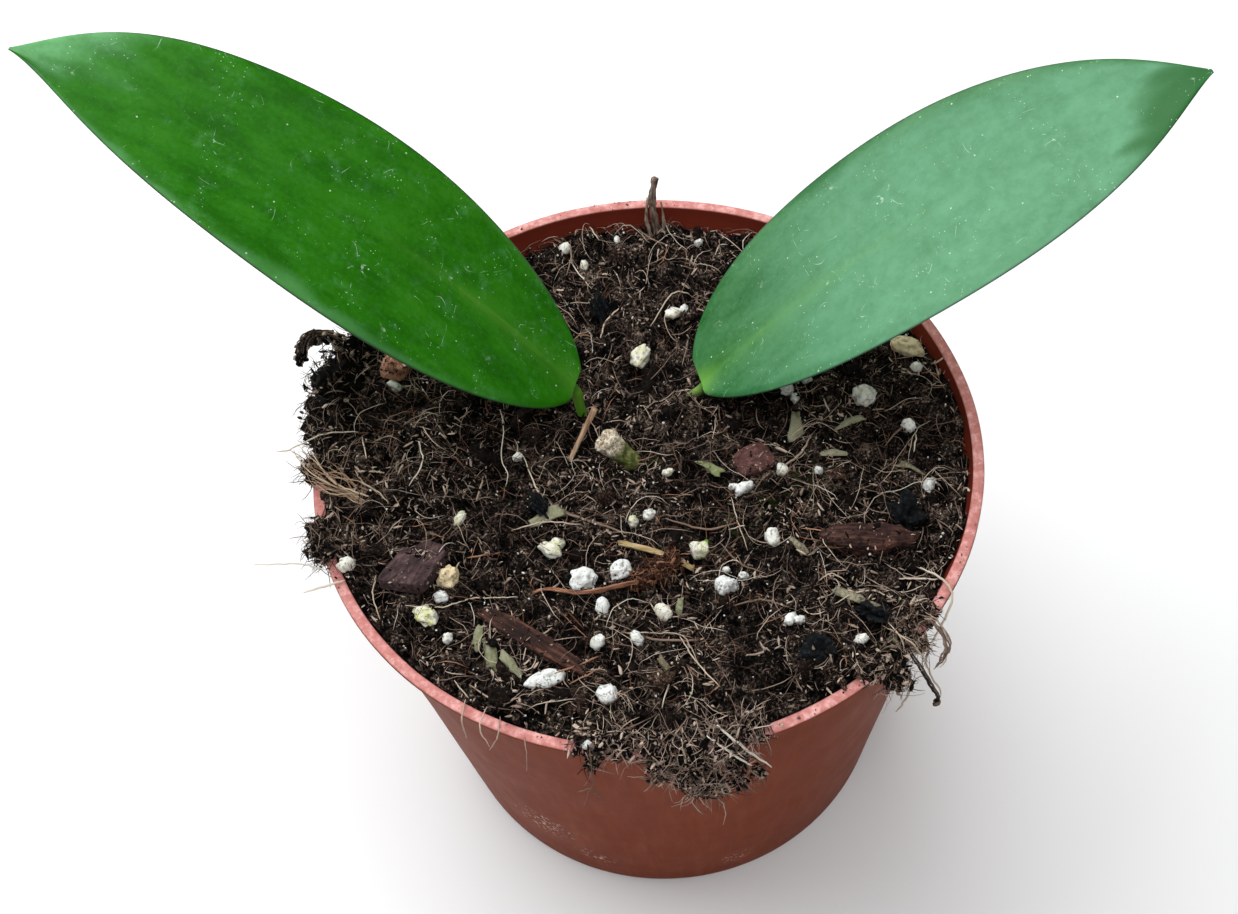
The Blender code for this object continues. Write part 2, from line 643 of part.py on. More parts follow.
def place_in_soil(bm, data, tilt_along, tilt_across):
    x = data[0] * MM
    y = data[1] * MM
    turn = Matrix.Rotation(math.radians(data[6]), 4, "Z")
    tilt = Matrix.Rotation(tilt_along, 4, "Y") @ Matrix.Rotation(tilt_across, 4, "X")
    middle = Matrix.Translation((x, y, soil_height(x, y) + data[2] * MM))
    bmesh.ops.transform(bm, matrix=middle @ turn @ tilt, verts=bm.verts)


CHIP_COLOURS = {
    "bark_dark": (0.06, 0.035, 0.035),
    "bark_pink": (0.33, 0.17, 0.11),
    "bark_red": (0.15, 0.06, 0.05),
    "bark_strip": (0.10, 0.05, 0.035),
    "wood_piece": (0.09, 0.035, 0.03),
}
GRAIN_COLOURS = {
    "husk": (0.52, 0.43, 0.26),
    "grain_tan": (0.48, 0.36, 0.24),
    "perlite_green": (0.6, 0.66, 0.36),
    "perlite_back": (0.62, 0.6, 0.36),
}
PERLITE_WHITE = (0.78, 0.78, 0.72)
STRAW_COLOURS = {
    "stick": (0.5, 0.32, 0.19),
    "straw": (0.6, 0.47, 0.27),
    "root": (0.36, 0.16, 0.06),
    "twig": (0.11, 0.09, 0.07),
}


def make_loose_pieces(collection, pockets):
    for seed, (name, data) in enumerate(CHIPS.items(), 100):
        chip = add_object(name, mesh_from(chip_bmesh(data, seed, 0.0), name), collection)
        chip.data.materials.append(make_material(name + "_bark", CHIP_COLOURS[name], 0.85))
        add_object(name + "_pocket", mesh_from(chip_bmesh(data, seed, GAP), name), pockets)
    for seed, (name, data) in enumerate(GRAINS.items(), 200):
        grain = add_object(name, mesh_from(grain_bmesh(data, seed, 0.0), name), collection)
        colour = GRAIN_COLOURS.get(name, PERLITE_WHITE)
        grain.data.materials.append(make_material(name + "_mineral", colour, 0.9))
        add_object(name + "_pocket", mesh_from(grain_bmesh(data, seed, GAP), name), pockets)


def straw_radii(name, count, radius, grow):
    """A twig tapers to half its width at the top; the others keep theirs."""
    end = 0.5 if name == "twig" else 0.85
    return [radius * (1 + (end - 1) * index / (count - 1)) + grow for index in range(count)]


def make_straws(collection, pockets):
    for name, (path, radius_mm) in STRAWS.items():
        radius = radius_mm * MM
        points = smooth_path([v_mm(point) for point in path], 3)
        straw = tube(name, points, straw_radii(name, len(points), radius, 0.0), collection, 1)
        straw.data.materials.append(make_material(name + "_straw", STRAW_COLOURS[name], 0.8))
        smooth_round(straw, 50)
        start = points[0] - (points[1] - points[0]).normalized() * GAP
        end = points[-1] + (points[-1] - points[-2]).normalized() * GAP
        longer = [start] + points[1:-1] + [end]
        tube(name + "_pocket", longer, straw_radii(name, len(longer), radius, GAP), pockets, 1)


def main():
    clear_scene()
    parts = make_collection("potted_hoya_australis")
    cutters = make_collection("cutters")
    pockets = make_collection("pockets")
    make_pot(parts)
    for name in LEAVES:
        make_leaf(name, parts, cutters)
        make_petiole_pocket(name, pockets)
    make_stem(parts)
    make_stem_pocket(pockets)
    make_loose_pieces(parts, pockets)
    make_straws(parts, pockets)
    make_soil(parts, cutters, pockets)
    for cutter in pockets.objects:
        hide_cutter(cutter)


main()
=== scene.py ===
"""Looks of the potted hoya australis: fibrous soil, two waxy leaves, a worn pot, and a soft studio.

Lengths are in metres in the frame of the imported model: Z is up, and the origin is the middle of the pot's
underside. Millimetres and degrees are in the names that end in _MM, in the tables of clumps, leaves, chips,
grains and straws, and in the sizes that materials, fibres and loose lumps are called with.
"""
import json
import math
import random

import bmesh
import bpy
import numpy as np
from mathutils import Matrix, Vector, kdtree, noise

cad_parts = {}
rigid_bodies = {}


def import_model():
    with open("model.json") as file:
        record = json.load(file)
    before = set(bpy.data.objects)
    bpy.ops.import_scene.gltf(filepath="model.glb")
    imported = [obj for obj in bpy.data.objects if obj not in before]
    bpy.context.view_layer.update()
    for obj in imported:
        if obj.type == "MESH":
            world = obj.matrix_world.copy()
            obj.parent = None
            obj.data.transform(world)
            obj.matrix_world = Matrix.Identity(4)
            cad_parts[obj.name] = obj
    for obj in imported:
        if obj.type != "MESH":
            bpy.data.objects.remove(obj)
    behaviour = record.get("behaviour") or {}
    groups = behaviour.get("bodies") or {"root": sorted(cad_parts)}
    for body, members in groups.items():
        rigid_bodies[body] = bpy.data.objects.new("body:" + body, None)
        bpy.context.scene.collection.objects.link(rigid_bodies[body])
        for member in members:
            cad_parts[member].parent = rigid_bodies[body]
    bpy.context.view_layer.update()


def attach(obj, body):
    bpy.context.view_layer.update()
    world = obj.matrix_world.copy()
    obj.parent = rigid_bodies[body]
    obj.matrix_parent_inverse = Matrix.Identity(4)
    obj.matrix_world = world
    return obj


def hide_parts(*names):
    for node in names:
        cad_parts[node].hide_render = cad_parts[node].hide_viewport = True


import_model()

MM = 0.001
BODY = "root"

# Pot, as in the model
POT_HEIGHT = 80.0 * MM
RIM_RADIUS = 52.5 * MM
RIM_BAND = 1.8 * MM
MOUTH_RADIUS = RIM_RADIUS - RIM_BAND
LIP_DEPTH = 0.9 * MM
FLARE_RADIUS = 51.5 * MM
FLARE_DEPTH = 7.0 * MM
BODY_TOP_RADIUS = 49.4 * MM
BASE_RADIUS = 39.8 * MM
WALL = 1.0 * MM
FLOOR_THICKNESS = 2.0 * MM
GROOVE_INNER = 18.0 * MM
GROOVE_OUTER = 31.0 * MM
GROOVE_DEPTH = 0.8 * MM
DRAIN_HOLES = 8
DRAIN_RADIUS = 3.0 * MM
DRAIN_CHANNELS = 4
CHANNEL_WIDTH = 4.0 * MM
POT_STEPS = 200
POT_WAVE = 0.14 * MM                # unevenness of the thin moulded wall
SCUFFS_MM = [(-23.5, -35.7, 21, 8), (-15, -38, 11, 4.5), (10, -42, 8, 5), (-33, 24, 30, 6)]
# Heights on the outer wall, and its radius at each
OUTER_WALL = ([0, POT_HEIGHT - FLARE_DEPTH, POT_HEIGHT - LIP_DEPTH],
              [BASE_RADIUS, BODY_TOP_RADIUS, FLARE_RADIUS])

# Soil, as in the model: level, and swells as middle x, y, spread along x, y, and rise
SOIL_LEVEL = 76.6 * MM
SWELLS_MM = [
    (-47, 6, 15, 22, 5.2), (-30, -28, 16, 16, 2.4), (2, -45, 20, 10, 3.6), (33, -37, 12, 10, 3.2),
    (46, -6, 11, 20, 1.2), (1, 19, 8, 9, -3.4), (0, 44, 22, 8, -1.2),
]
# Small mounds and hollows that only the looks have: middle x, y, spread, rise or sink
MOUNDS_MM = [(6.0, 8.0, 3.2, 2.6), (-24.0, 20.0, 6.0, 1.6), (22.0, 30.0, 7.0, 1.0), (16.0, 9.0, 4.0, 1.0),
             (7.4, 10.0, 3.4, 2.6), (5.0, 43.0, 5.5, 2.6), (-12.0, 40.0, 4.0, 1.2)]
HOLLOWS_MM = [(-10.5, 5.5, 2.6, 1.6), (-2.6, 0.4, 2.8, 2.2), (-0.5, -46.5, 3.0, 1.8), (34.0, -26.0, 5.0, 1.4),
              (-20.0, 4.0, 6.0, 1.2), (-6.0, 31.0, 3.0, 1.6), (5.0, 16.0, 4.0, 1.2), (24.0, -14.0, 4.0, 1.2),
              (-3.0, -8.0, 4.0, 1.0)]
BED_CELLS = 250                     # cells along each side of the soil surface
BED_GAP = 0.1 * MM                  # between the soil and the pot's wall
WALL_GAP = 0.3 * MM                 # between loose soil and the pot's wall

# Clumps over the rim, close to the model's: angle in degrees, distance from the axis, height, radius
LEFT_SPILL = [(150, 50.8, 82.5, 3.4), (156, 51.8, 82.6, 4.0), (162, 52.4, 83.2, 4.2), (168, 51.8, 82.4, 3.8),
              (173, 50.8, 81.8, 3.2), (179, 51.8, 80.9, 2.6), (192, 51.4, 80.8, 2.8), (195.5, 52.2, 80.9, 2.7)]
FRONT_MAT = [(262, 50.6, 80.6, 2.8), (268, 51.8, 80.9, 3.4), (273, 52.4, 81.2, 3.8), (278, 52.0, 81.0, 3.6),
             (283, 50.8, 80.8, 2.6), (272, 54.0, 77.6, 3.2), (275, 53.8, 74.4, 3.0), (268, 53.4, 78.2, 2.4),
             (279.5, 53.6, 77.6, 2.0), (274, 53.2, 71.2, 2.2)]
FRONT_SPILL = FRONT_MAT + [(277.5, 52.2, 67.2, 1.2), (280.5, 51.8, 66.4, 1.5), (284, 51.6, 66.9, 1.1),
                           (255.5, 50.4, 80.5, 1.7), (258.5, 51.4, 80.9, 1.7), (257.5, 53.2, 78.6, 1.1)]
RIGHT_SPILL = [(305, 51.0, 80.6, 2.3), (309, 51.6, 80.8, 2.8), (314, 50.4, 80.6, 2.0), (319, 50.6, 80.5, 2.1),
               (308, 53.8, 78.0, 2.5), (314.5, 53.2, 79.0, 1.3)]
# A clod of rotten matter on the soil, told in the same way
BROWN_CLOD = [(263.5, 22.6, 78.3, 1.6), (270.0, 21.0, 78.7, 2.0), (276.5, 20.0, 78.6, 1.5)]
# Angles where most crumbs lie on the rim
DIRTY_RIM = (160, 176, 196, 256, 264, 273, 286, 307, 318, 326, 92, 118)

# Leaves, as in the model but for finer outlines
BLADE_THICKNESS = 0.9 * MM
BLADE_ENDS = (0.012, 0.997)         # shares of the length where the first and the last row of points lie
RIB_REACH = 0.72                    # share of the length that the midrib runs along
RIB_SINK = 0.75                     # how deep the midrib's axis lies under the upper face, in its radii
PETIOLE_RADIUS = 0.8 * MM
RIB_END_RADIUS = 0.45 * MM
TROUGH = 0.09                       # how far the margins rise over the midrib, as a share of the half width
EDGE_WAVE = 0.35 * MM               # how far the margins wave up and down
TIP_SPAN = 0.07                     # share of the blade that narrows to its tip
MARGIN_FOLD = 0.5 * MM              # how far the margin bends down
BLADE_ROWS = 150
BLADE_COLUMNS = 48
STALK_SIDES = 14                    # corners round a petiole, a straw and a twig
# sheen says where along the blade its painted sheen starts and is full, how deep the painted shade of its
# tip is, and from which share of the half width the painted sheen fades towards one margin
# Tints and values for painted sheen over the blade and one margin, and for painted shade at the tip and rim
LEAVES = {
    "leaf_left": {
        "base": (-9.7, 10.1, 83.5), "azimuth": 163.3, "rise": 37.0, "roll": -5.3, "length": 97.7,
        "arch": 7.7, "sway": -1.6, "tip_sway": -1.6, "tip": 0.88,
        "sides": ((17.3, 0.62, 0.89), (15.8, 0.49, 0.43)),
        "petiole": [(-3.2, 8.9, 62.5), (-6.2, 9.4, 66.5), (-9.0, 9.8, 72.5), (-9.9, 10.0, 78.0)],
        "rib": 0.75, "glow": 0.4, "painted_sheen": 0.75, "sheen": (0.84, 1.0, 0.0, 0.0), "margin_sheen": 0.25,
        "seed": 31, "specular": 0.12,
        "tints": {"deep": (26, 92, 1), "mid": (34, 106, 2), "pale": (44, 116, 12), "glow": (78, 138, 40),
                  "edge": (36, 40, 34), "under": (92, 132, 70), "stalk": (84, 134, 38),
                  "sheen_tint": (120, 186, 128)},
    },
    "leaf_right": {
        "base": (9.0, 12.2, 78.5), "azimuth": 10.9, "rise": 31.0, "roll": -0.9, "length": 91.8,
        "arch": 6.3, "sway": 0.3, "tip_sway": -0.7, "tip": 0.76,
        "sides": ((18.0, 0.42, 0.55), (18.0, 0.69, 0.69)),
        "petiole": [(3.1, 9.0, 62.5), (4.4, 10.4, 67.5), (6.2, 11.5, 73.0), (7.6, 11.9, 76.2)],
        "rib": 0.35, "glow": 0.6, "painted_sheen": 0.9, "sheen": (0.03, 0.4, 0.9, 0.75), "margin_sheen": 0.0,
        "seed": 47, "specular": 0.25,
        "tints": {"deep": (16, 88, 26), "mid": (42, 104, 50), "pale": (58, 114, 64), "glow": (110, 168, 64),
                  "edge": (26, 44, 32), "under": (100, 142, 92), "stalk": (104, 136, 60),
                  "sheen_tint": (90, 148, 110)},
    },
}

# Old stem, as in the model
STEM_PATH_MM = [(0.0, 7.2, 57.0), (0.0, 6.6, 63.0), (-0.6, 3.8, 69.5), (-2.6, 1.7, 74.6), (-6.4, 3.2, 79.2)]
STEM_RADIUS = 1.6 * MM
CALLUS_RADIUS = 2.1 * MM
STEM_SIDES = 36
CUT_RINGS = 16                      # rings of points over the cut face

# Finish of chips and straws: dark, mid and light tints, stretch along the grain, size, and how soiled it is
WOODS = {
    "dark_bark": ((36, 26, 27), (66, 48, 49), (104, 82, 80), 0.35, 0.8, 0.2),
    "pink_bark": ((104, 62, 46), (178, 124, 98), (226, 182, 154), 0.9, 0.5, 0.4),
    "red_bark": ((62, 38, 36), (90, 58, 54), (120, 84, 78), 0.7, 0.8, 0.5),
    "brown_bark": ((24, 15, 13), (56, 34, 28), (112, 74, 60), 0.08, 0.8, 0.6),
    "rotten_wood": ((22, 14, 13), (58, 36, 32), (110, 74, 62), 0.12, 0.8, 0.9),
    "tan_straw": ((120, 88, 68), (186, 148, 118), (226, 198, 168), 0.1, 0.5, 0.2),
    "pale_straw": ((128, 100, 62), (196, 168, 118), (232, 214, 172), 0.1, 0.5, 0.2),
    "orange_root": ((84, 50, 36), (156, 104, 78), (208, 164, 134), 0.15, 0.5, 0.3),
    "grey_twig": ((44, 34, 29), (110, 90, 78), (194, 172, 154), 0.1, 0.6, 0.4),
}
# Pieces in the soil, placed as in the model: middle x, y, lift, length, width, thickness and turn.
# A chip goes on with its two tilts, its finish, roughness, layers, squareness and how far its ends narrow.
CHIPS = {
    "bark_dark": (-36.0, -18.5, 0.9, 11.0, 7.6, 2.2, 62, 16, -8, "dark_bark", 0.12, 0.08, 12, 0.06),
    "bark_pink": (-39.0, 19.4, 1.2, 7.0, 4.8, 3.4, 75, 22, 10, "pink_bark", 0.3, 0.25, 5, 0.2),
    "bark_red": (16.6, -1.6, 0.8, 6.6, 5.4, 3.0, 20, -6, 8, "red_bark", 0.16, 0.04, 4, 0.15),
    "bark_strip": (-19.0, -32.4, 0.7, 20.0, 3.0, 1.9, -37, 2, 6, "brown_bark", 0.2, 0.5, 6, 0.45),
    "wood_piece": (32.5, -18.8, 0.6, 15.5, 5.0, 3.4, -5, 3, -4, "rotten_wood", 0.6, 0.5, 3, 0.5),
}
SETTLED_EACH = 70                   # crumbs that lie on each chip
# A grain goes on with its finish, tone and number of pits
GRAINS = {
    "husk": (44.0, 17.4, 0.6, 5.8, 3.5, 3.0, -28, "pale_husk", 0.1, 12),
    "perlite_right": (35.6, 8.0, 0.6, 3.8, 3.5, 3.2, 15, "white_perlite", 0.4, 7),
    "perlite_back": (0.4, 23.4, 0.8, 4.6, 3.2, 3.0, 70, "yellow_perlite", 0.72, 12),
    "perlite_centre": (-11.2, -21.6, 0.7, 4.2, 3.8, 3.2, 0, "white_perlite", 0.0, 9),
    "perlite_middle": (-5.6, -20.4, 0.6, 3.9, 3.0, 2.8, 30, "white_perlite", 0.0, 6),
    "perlite_front": (-8.6, -42.2, 0.7, 3.1, 2.9, 2.7, 0, "white_perlite", 0.0, 3),
    "shell_flake": (-17.6, -38.9, 0.6, 6.4, 3.0, 2.4, 12, "white_perlite", 0.05, 2),
    "perlite_white": (9.6, -24.6, 0.6, 3.4, 2.2, 2.4, 80, "white_perlite", 0.0, 3),
    "perlite_green": (-34.6, -27.4, 0.6, 4.4, 3.0, 2.6, -50, "algae_perlite", 0.85, 8),
    "grain_tan": (-31.4, -20.8, 0.6, 3.8, 3.2, 2.8, 60, "tan_grain", 0.2, 10),
}
# Straws: finish, shares of the radius at both ends, roughness, then the path and radius of each branch
STRAWS = {
    "stick": ("tan_straw", (0.35, 0.9), 0.12, [
        ([(-13.4, -0.8, 74.4), (-12.0, 1.2, 77.6), (-7.5, 5.6, 84.4)], 0.55)]),
    "straw": ("pale_straw", (1.0, 0.85), 0.12, [
        ([(-5.6, -14.9, 77.0), (-4.2, -15.9, 78.0), (0.4, -18.2, 78.6), (5.6, -20.8, 77.4)], 0.5)]),
    "root": ("orange_root", (0.6, 0.85), 0.2, [
        ([(-20.4, -23.6, 77.4), (-17.0, -23.4, 79.5), (-11.0, -25.2, 80.6), (-3.6, -23.4, 79.2),
          (-0.4, -22.4, 77.2)], 0.45)]),
    "twig": ("grey_twig", (0.8, 0.5), 0.3, [
        ([(6.0, 45.6, 69.0), (5.4, 46.6, 76.0), (4.6, 48.4, 83.0), (5.4, 49.4, 88.4)], 1.0),
        ([(4.0, 46.2, 77.0), (3.4, 47.2, 81.0), (3.9, 48.2, 85.0)], 0.42),
        ([(6.0, 46.6, 77.0), (6.3, 47.6, 80.6), (6.1, 48.4, 83.4)], 0.34)]),
}

# Small pale grains that show in the photograph: x, y, radius, tint (0 white, 0.5 cream, 1 yellow-green)
SHOWN_GRAINS_MM = [
    (-11.0, 45.5, 1.2, 0.45), (-8.0, 42.5, 0.9, 0.5), (-2.0, 47.0, 0.6, 0.3), (12.0, 45.0, 0.8, 0.3),
    (6.5, 30.0, 1.2, 0.6), (8.4, 30.4, 0.8, 0.2), (14.5, -7.0, 1.5, 0.1), (13.2, -6.6, 0.9, 0.15),
    (-3.0, -11.5, 1.1, 0.8), (-0.5, -10.8, 1.0, 0.5), (6.5, -17.5, 1.6, 0.9), (11.0, -24.5, 1.2, 0.0),
    (10.5, -21.5, 0.7, 0.2), (13.0, -23.0, 0.8, 0.1), (19.0, -32.0, 1.1, 0.15), (20.4, -32.5, 1.0, 0.1),
    (-31.5, -31.0, 0.9, 0.4), (-32.5, -24.0, 1.2, 0.0), (-16.0, -16.0, 1.4, 0.75), (-14.8, -14.9, 0.9, 0.8),
    (-29.5, -10.0, 1.2, 0.85), (-8.5, -27.5, 1.1, 0.1), (21.0, -4.5, 1.1, 0.6), (41.5, 1.0, 1.2, 0.35),
    (3.0, -3.5, 0.8, 0.5), (23.5, 11.0, 1.1, 0.25), (27.0, 13.0, 1.1, 0.2), (24.5, 9.3, 0.9, 0.3),
    (43.0, -10.0, 1.3, 0.0), (18.0, -17.0, 1.3, 0.4), (45.0, 13.5, 1.0, 0.4), (28.5, -37.5, 0.9, 0.3),
    (-9.5, -33.5, 1.1, 0.4), (-3.8, -33.3, 1.1, 0.3), (0.5, -29.0, 1.4, 0.5), (-20.5, 2.5, 0.8, 0.3),
    (-46.5, -17.5, 1.3, 0.45), (-39.5, 15.5, 1.0, 0.3), (-12.0, -50.0, 0.8, 0.0), (26.5, -5.5, 0.8, 0.3),
]
# Thin flat bits of leaf and husk: x, y, length, width, turn, tint (0 tan, 0.5 grey-green, 1 fresh green)
FLAKES_MM = [
    (-25.3, -33.5, 5.5, 2.0, 95, 0.5), (-22.4, -36.3, 5.0, 1.8, -50, 0.45), (-27.0, -31.0, 4.0, 1.6, 70, 0.5),
    (24.2, 3.9, 5.5, 2.4, 80, 0.35), (29.5, -2.6, 3.6, 1.3, -5, 0.3), (9.7, -3.3, 4.6, 1.8, -45, 0.62),
    (0.0, -38.5, 4.0, 1.4, -60, 0.05), (-16.5, -10.7, 6.5, 2.4, 25, 0.4), (31.9, -38.0, 4.5, 1.5, 5, 0.55),
    (28.7, -30.3, 7.0, 1.6, -30, 0.2), (21.6, -18.6, 4.4, 1.3, -60, 0.15), (33.0, 3.0, 5.0, 1.6, 12, 0.4),
    (7.6, -16.6, 2.8, 1.0, 80, 1.0), (3.0, -27.5, 3.4, 1.2, 75, 0.5), (40.5, -6.5, 4.5, 1.2, -35, 0.1),
]
CHARCOAL_MM = [(38.5, -15.5, 4.6), (-5.5, 33.0, 3.4), (-17.0, -9.0, 3.6), (22.0, -39.0, 3.5),
               (31.0, -33.0, 3.5)]
MOSS_MM = [(25.0, -6.0, 6.5), (0.5, 0.5, 3.5), (17.5, -9.5, 4.5), (13.0, -14.0, 4.0)]
# Fibres that show in the photograph: places on the soil, x and y, in order along each
PALE_FIBRES_MM = [
    [(-23, 11.5), (-22.5, 7), (-23, 2), (-22, -1.5), (-22.5, -3.5)], [(-19.5, 2), (-17.5, -5), (-16, -9)],
    [(-37.5, -26), (-32, -26), (-28.5, -24.5), (-24.5, -24), (-21, -24.5)],
    [(-42, -20), (-42.5, -23), (-41.5, -27)],
    [(-22, -27.5), (-21.5, -31), (-18.5, -32), (-16, -30.5)], [(-1, -45), (2, -37)],
    [(-37, -4.5), (-35, -0.5), (-35.5, 3.5)], [(12.5, -9), (13, -13.5), (14, -18.5)],
    [(25.5, -31.5), (29, -29.5), (32, -29.5), (34.5, -32)], [(24, -26), (26, -25), (28, -26.5)],
    [(2.5, -34), (4.5, -38), (7.5, -43.5)], [(41.5, -4.5), (42.5, -1)], [(29, 8), (29.5, 5)],
    [(-6.5, 49), (-5, 46.5)], [(2.5, 27.5), (6.5, 33), (9.5, 33)], [(-10.5, 43), (-7, 36.5)],
    [(-1.5, -26.5), (0, -30.5)], [(-30.5, -38.5), (-28.5, -41)],
    [(-45.5, -1), (-44, -3.5), (-41.5, -6), (-40, -8)],
]
TAN_FIBRES_MM = [
    [(-17.5, -9), (-12.5, -10.5), (-4, -14)], [(-13, -9.5), (-14, -15)],
    [(-21.5, -13), (-16.5, -12), (-11, -12.5)],
    [(-6, -32), (-1, -33), (3, -34), (5, -39)], [(-27, -6.5), (-26, -1.5)], [(11.5, -14.5), (14, -14.5)],
    [(10, -16.5), (12.5, -21), (16.5, -23.5)], [(11, -29), (15, -28), (19, -30)],
    [(-6, -32), (-0.5, -34), (5, -34.5)],
    [(14, -35.5), (14.5, -37.5), (11.5, -38.5)], [(37.5, -1.5), (40, 0.5), (42, 1)],
    [(6.5, -19.5), (9.5, -17)],
    [(-11.5, 47.5), (-10, 44.5), (-11, 39)], [(2, 48), (4.5, 44), (8.5, 42.5)],
    [(-6, 26), (-5, 30), (-2.5, 32)],
    [(20.5, -4.5), (24, -2), (26, 0.5)], [(-28.5, -39), (-24, -42.5), (-21, -42)], [(-48, 0), (-41, -1.5)],
    [(-44.5, 5.5), (-43.5, 0.5)], [(36, -26), (39, -26.5), (41.5, -27.5)], [(2, -12), (8, -14), (13, -14)],
]
RUST_FIBRES_MM = [
    [(-28.5, -17), (-23.5, -17)], [(-15.5, -26.5), (-11, -32.5)], [(-14, -27), (-11.5, -31)],
    [(36, -7.5), (40, -11)],
    [(22.5, -15.5), (28.5, -18)], [(22, -17), (28, -19.5)], [(23, -19.2), (27.5, -20)],
    [(-34, -13), (-31.5, -14.5)],
    [(-16, -38.5), (-9.5, -36)], [(-14, -40), (-9, -38)],
]
# Fibres over the rim: places with their height
PALE_HANGING_MM = [
    [(-60, -17.5, 84), (-56.5, -17.5, 83.6), (-53, -17.5, 83), (-49, -18, 81)],
    [(-55, 3, 84), (-52.5, -1, 83.5), (-48, -4, 82.5), (-43, -6.5, 81.5), (-41, -7.5, 80.5)],
    [(-53, -21, 80.6), (-49.5, -20.5, 81), (-47, -19.5, 80.5)],
    [(-57.5, 2.5, 84.4), (-55, 3, 84.2), (-50, 5.5, 84), (-45, 6, 83)],
    [(32, -35.5, 81.4), (35, -39.2, 83.2), (37.2, -40.6, 80.2), (38.8, -40.9, 74.5), (40.8, -39.9, 68),
     (41.2, -39.4, 65)],
    [(39, -26, 80.8), (41.5, -28.5, 81.5), (43, -31, 80), (41, -34, 76.5), (39, -36.5, 75)],
    [(35.6, -41.4, 77), (35.8, -41.2, 71), (35, -41.4, 67.5), (34, -41.8, 65.6)],
    [(6.5, -50, 82), (6.5, -53.3, 79), (6.5, -53.6, 72), (7, -53.4, 67)],
]
TAN_HANGING_MM = [
    [(-11.5, -47.5, 80.5), (-11.5, -52.4, 81), (-11.7, -53.4, 75), (-12.5, -53.2, 72), (-13.5, -52.6, 66)],
    [(-12, -53.3, 73), (-10.8, -53.8, 71)], [(-12, -53.3, 73.5), (-14, -53.6, 73)],
    [(3, -52.5, 79), (3, -54.2, 74), (3.5, -53.8, 67), (4.8, -53, 62)],
    [(32.6, -34.6, 81.6), (34, -38.4, 82.8), (34.8, -40.6, 80.6), (35, -41.8, 76), (34.4, -42.2, 74.6)],
    [(2.6, -53.4, 76), (2.8, -54.4, 70), (3, -53.8, 64), (4.4, -52.8, 58.5)],
    [(6, -53.6, 77.6), (5.6, -54.4, 72), (6.2, -53.2, 66.5)],
    [(2, -54, 72), (5, -54, 69), (9.5, -52.6, 66), (13, -51.8, 65)],
    [(-3.6, -52.6, 80), (-3.2, -54.6, 77), (-4.4, -54.6, 73.5)],
    [(9.4, -51.6, 80.4), (10.8, -53.6, 76), (9.4, -53.6, 72.6)],
    [(-21, -46, 79.5), (-20.5, -50.3, 80.6), (-21, -51, 76)],
    [(-29, -40, 79.8), (-29.5, -44.6, 80.6), (-29.5, -45, 76)],
    [(-26, -42.5, 80.3), (-27, -46, 80.8), (-26, -47.6, 78)],
    [(-24, -44, 80), (-24.5, -47.6, 80.8), (-26, -48, 77.6)],
    [(-46, 25.5, 83), (-45.5, 24, 86), (-46.5, 26.5, 88)],
]
GRASS_MM = [
    [(-54.5, 3, 83.6), (-50, -2.5, 83), (-45, -5.5, 82.2), (-39.5, -7.6, 81)],
    [(-53, 1.5, 83), (-49, -2, 82.4), (-44.5, -6.5, 82), (-40, -8.6, 80.6)],
    [(-52, -2.5, 83.2), (-47.5, -4.6, 82.8), (-43, -6.6, 81.8), (-40.5, -6.4, 80.8)],
]
TWIGS_MM = [
    [(6.4, -50.4, 84.4), (9.4, -52.6, 82.2), (13.8, -53.4, 75.4)],
    [(5, -51.6, 83.8), (8.2, -53.6, 81.6), (11, -54, 77.6)],
    [(1.4, -52, 84.2), (1.7, -54.6, 80.5), (1.6, -55, 75.6)],
    [(-0.5, -54.2, 77.6), (-2.4, -55, 75.6)],
    [(8.6, -52.2, 80.6), (9.6, -51, 84)],
]
ROOT_MM = [(38.3, -34.8, 81.8), (40.2, -36.6, 82), (41.4, -37.4, 77.6), (41.2, -37.6, 74.2),
           (40.3, -38.2, 72.4)]
DRIP_MM = [(34.5, -38.6, 81.6), (37, -40.8, 77.2), (39.2, -41, 71), (40.5, -40.3, 66.4), (40.5, -40.3, 64.2)]
# Crumbs at the end of the drip: place and radius
BITS_MM = [(40.5, -40.3, 65.3, 0.42), (40.5, -40.3, 64.7, 0.5), (40.45, -40.3, 64.1, 0.46)]
ARM_MM = [(-46.5, 21.5, 84.5), (-48.5, 22.2, 86.3), (-51.0, 22.8, 87.0), (-53.6, 21.6, 86.6),
          (-54.0, 19.2, 85.2)]

# Seeds of the random draws
SOIL_SEED = 41
SPILL_SEED = 77
SETTLED_SEED = 90
CHIP_SEED = 100
GRAIN_SEED = 200


def colour(red, green, blue):
    """A colour as read in the photograph, 0 to 255, as the linear values that shaders take."""
    values = []
    for part in (red, green, blue):
        share = part / 255
        values.append(share / 12.92 if share <= 0.04045 else ((share + 0.055) / 1.055) ** 2.4)
    return (*values, 1.0)


# Arrays, noise and curves

ORDER = np.random.default_rng(6).permutation(256)
SLOPES = np.random.default_rng(5).normal(size=(256, 3))
SLOPES /= np.linalg.norm(SLOPES, axis=1, keepdims=True)


def metres(values):
    return np.asarray(values, float) * MM


def unit(vectors):
    return vectors / np.maximum(np.linalg.norm(vectors, axis=-1, keepdims=True), 1e-12)


def polar(distance, angle, height):
    return np.stack([distance * np.cos(angle), distance * np.sin(angle), height + 0 * angle], 1)


def smooth_step(low, high, values):
    """0 at low, 1 at high and a smooth step between; low may be the higher number."""
    share = np.clip((values - low) / (high - low), 0, 1)
    return share * share * (3 - 2 * share)


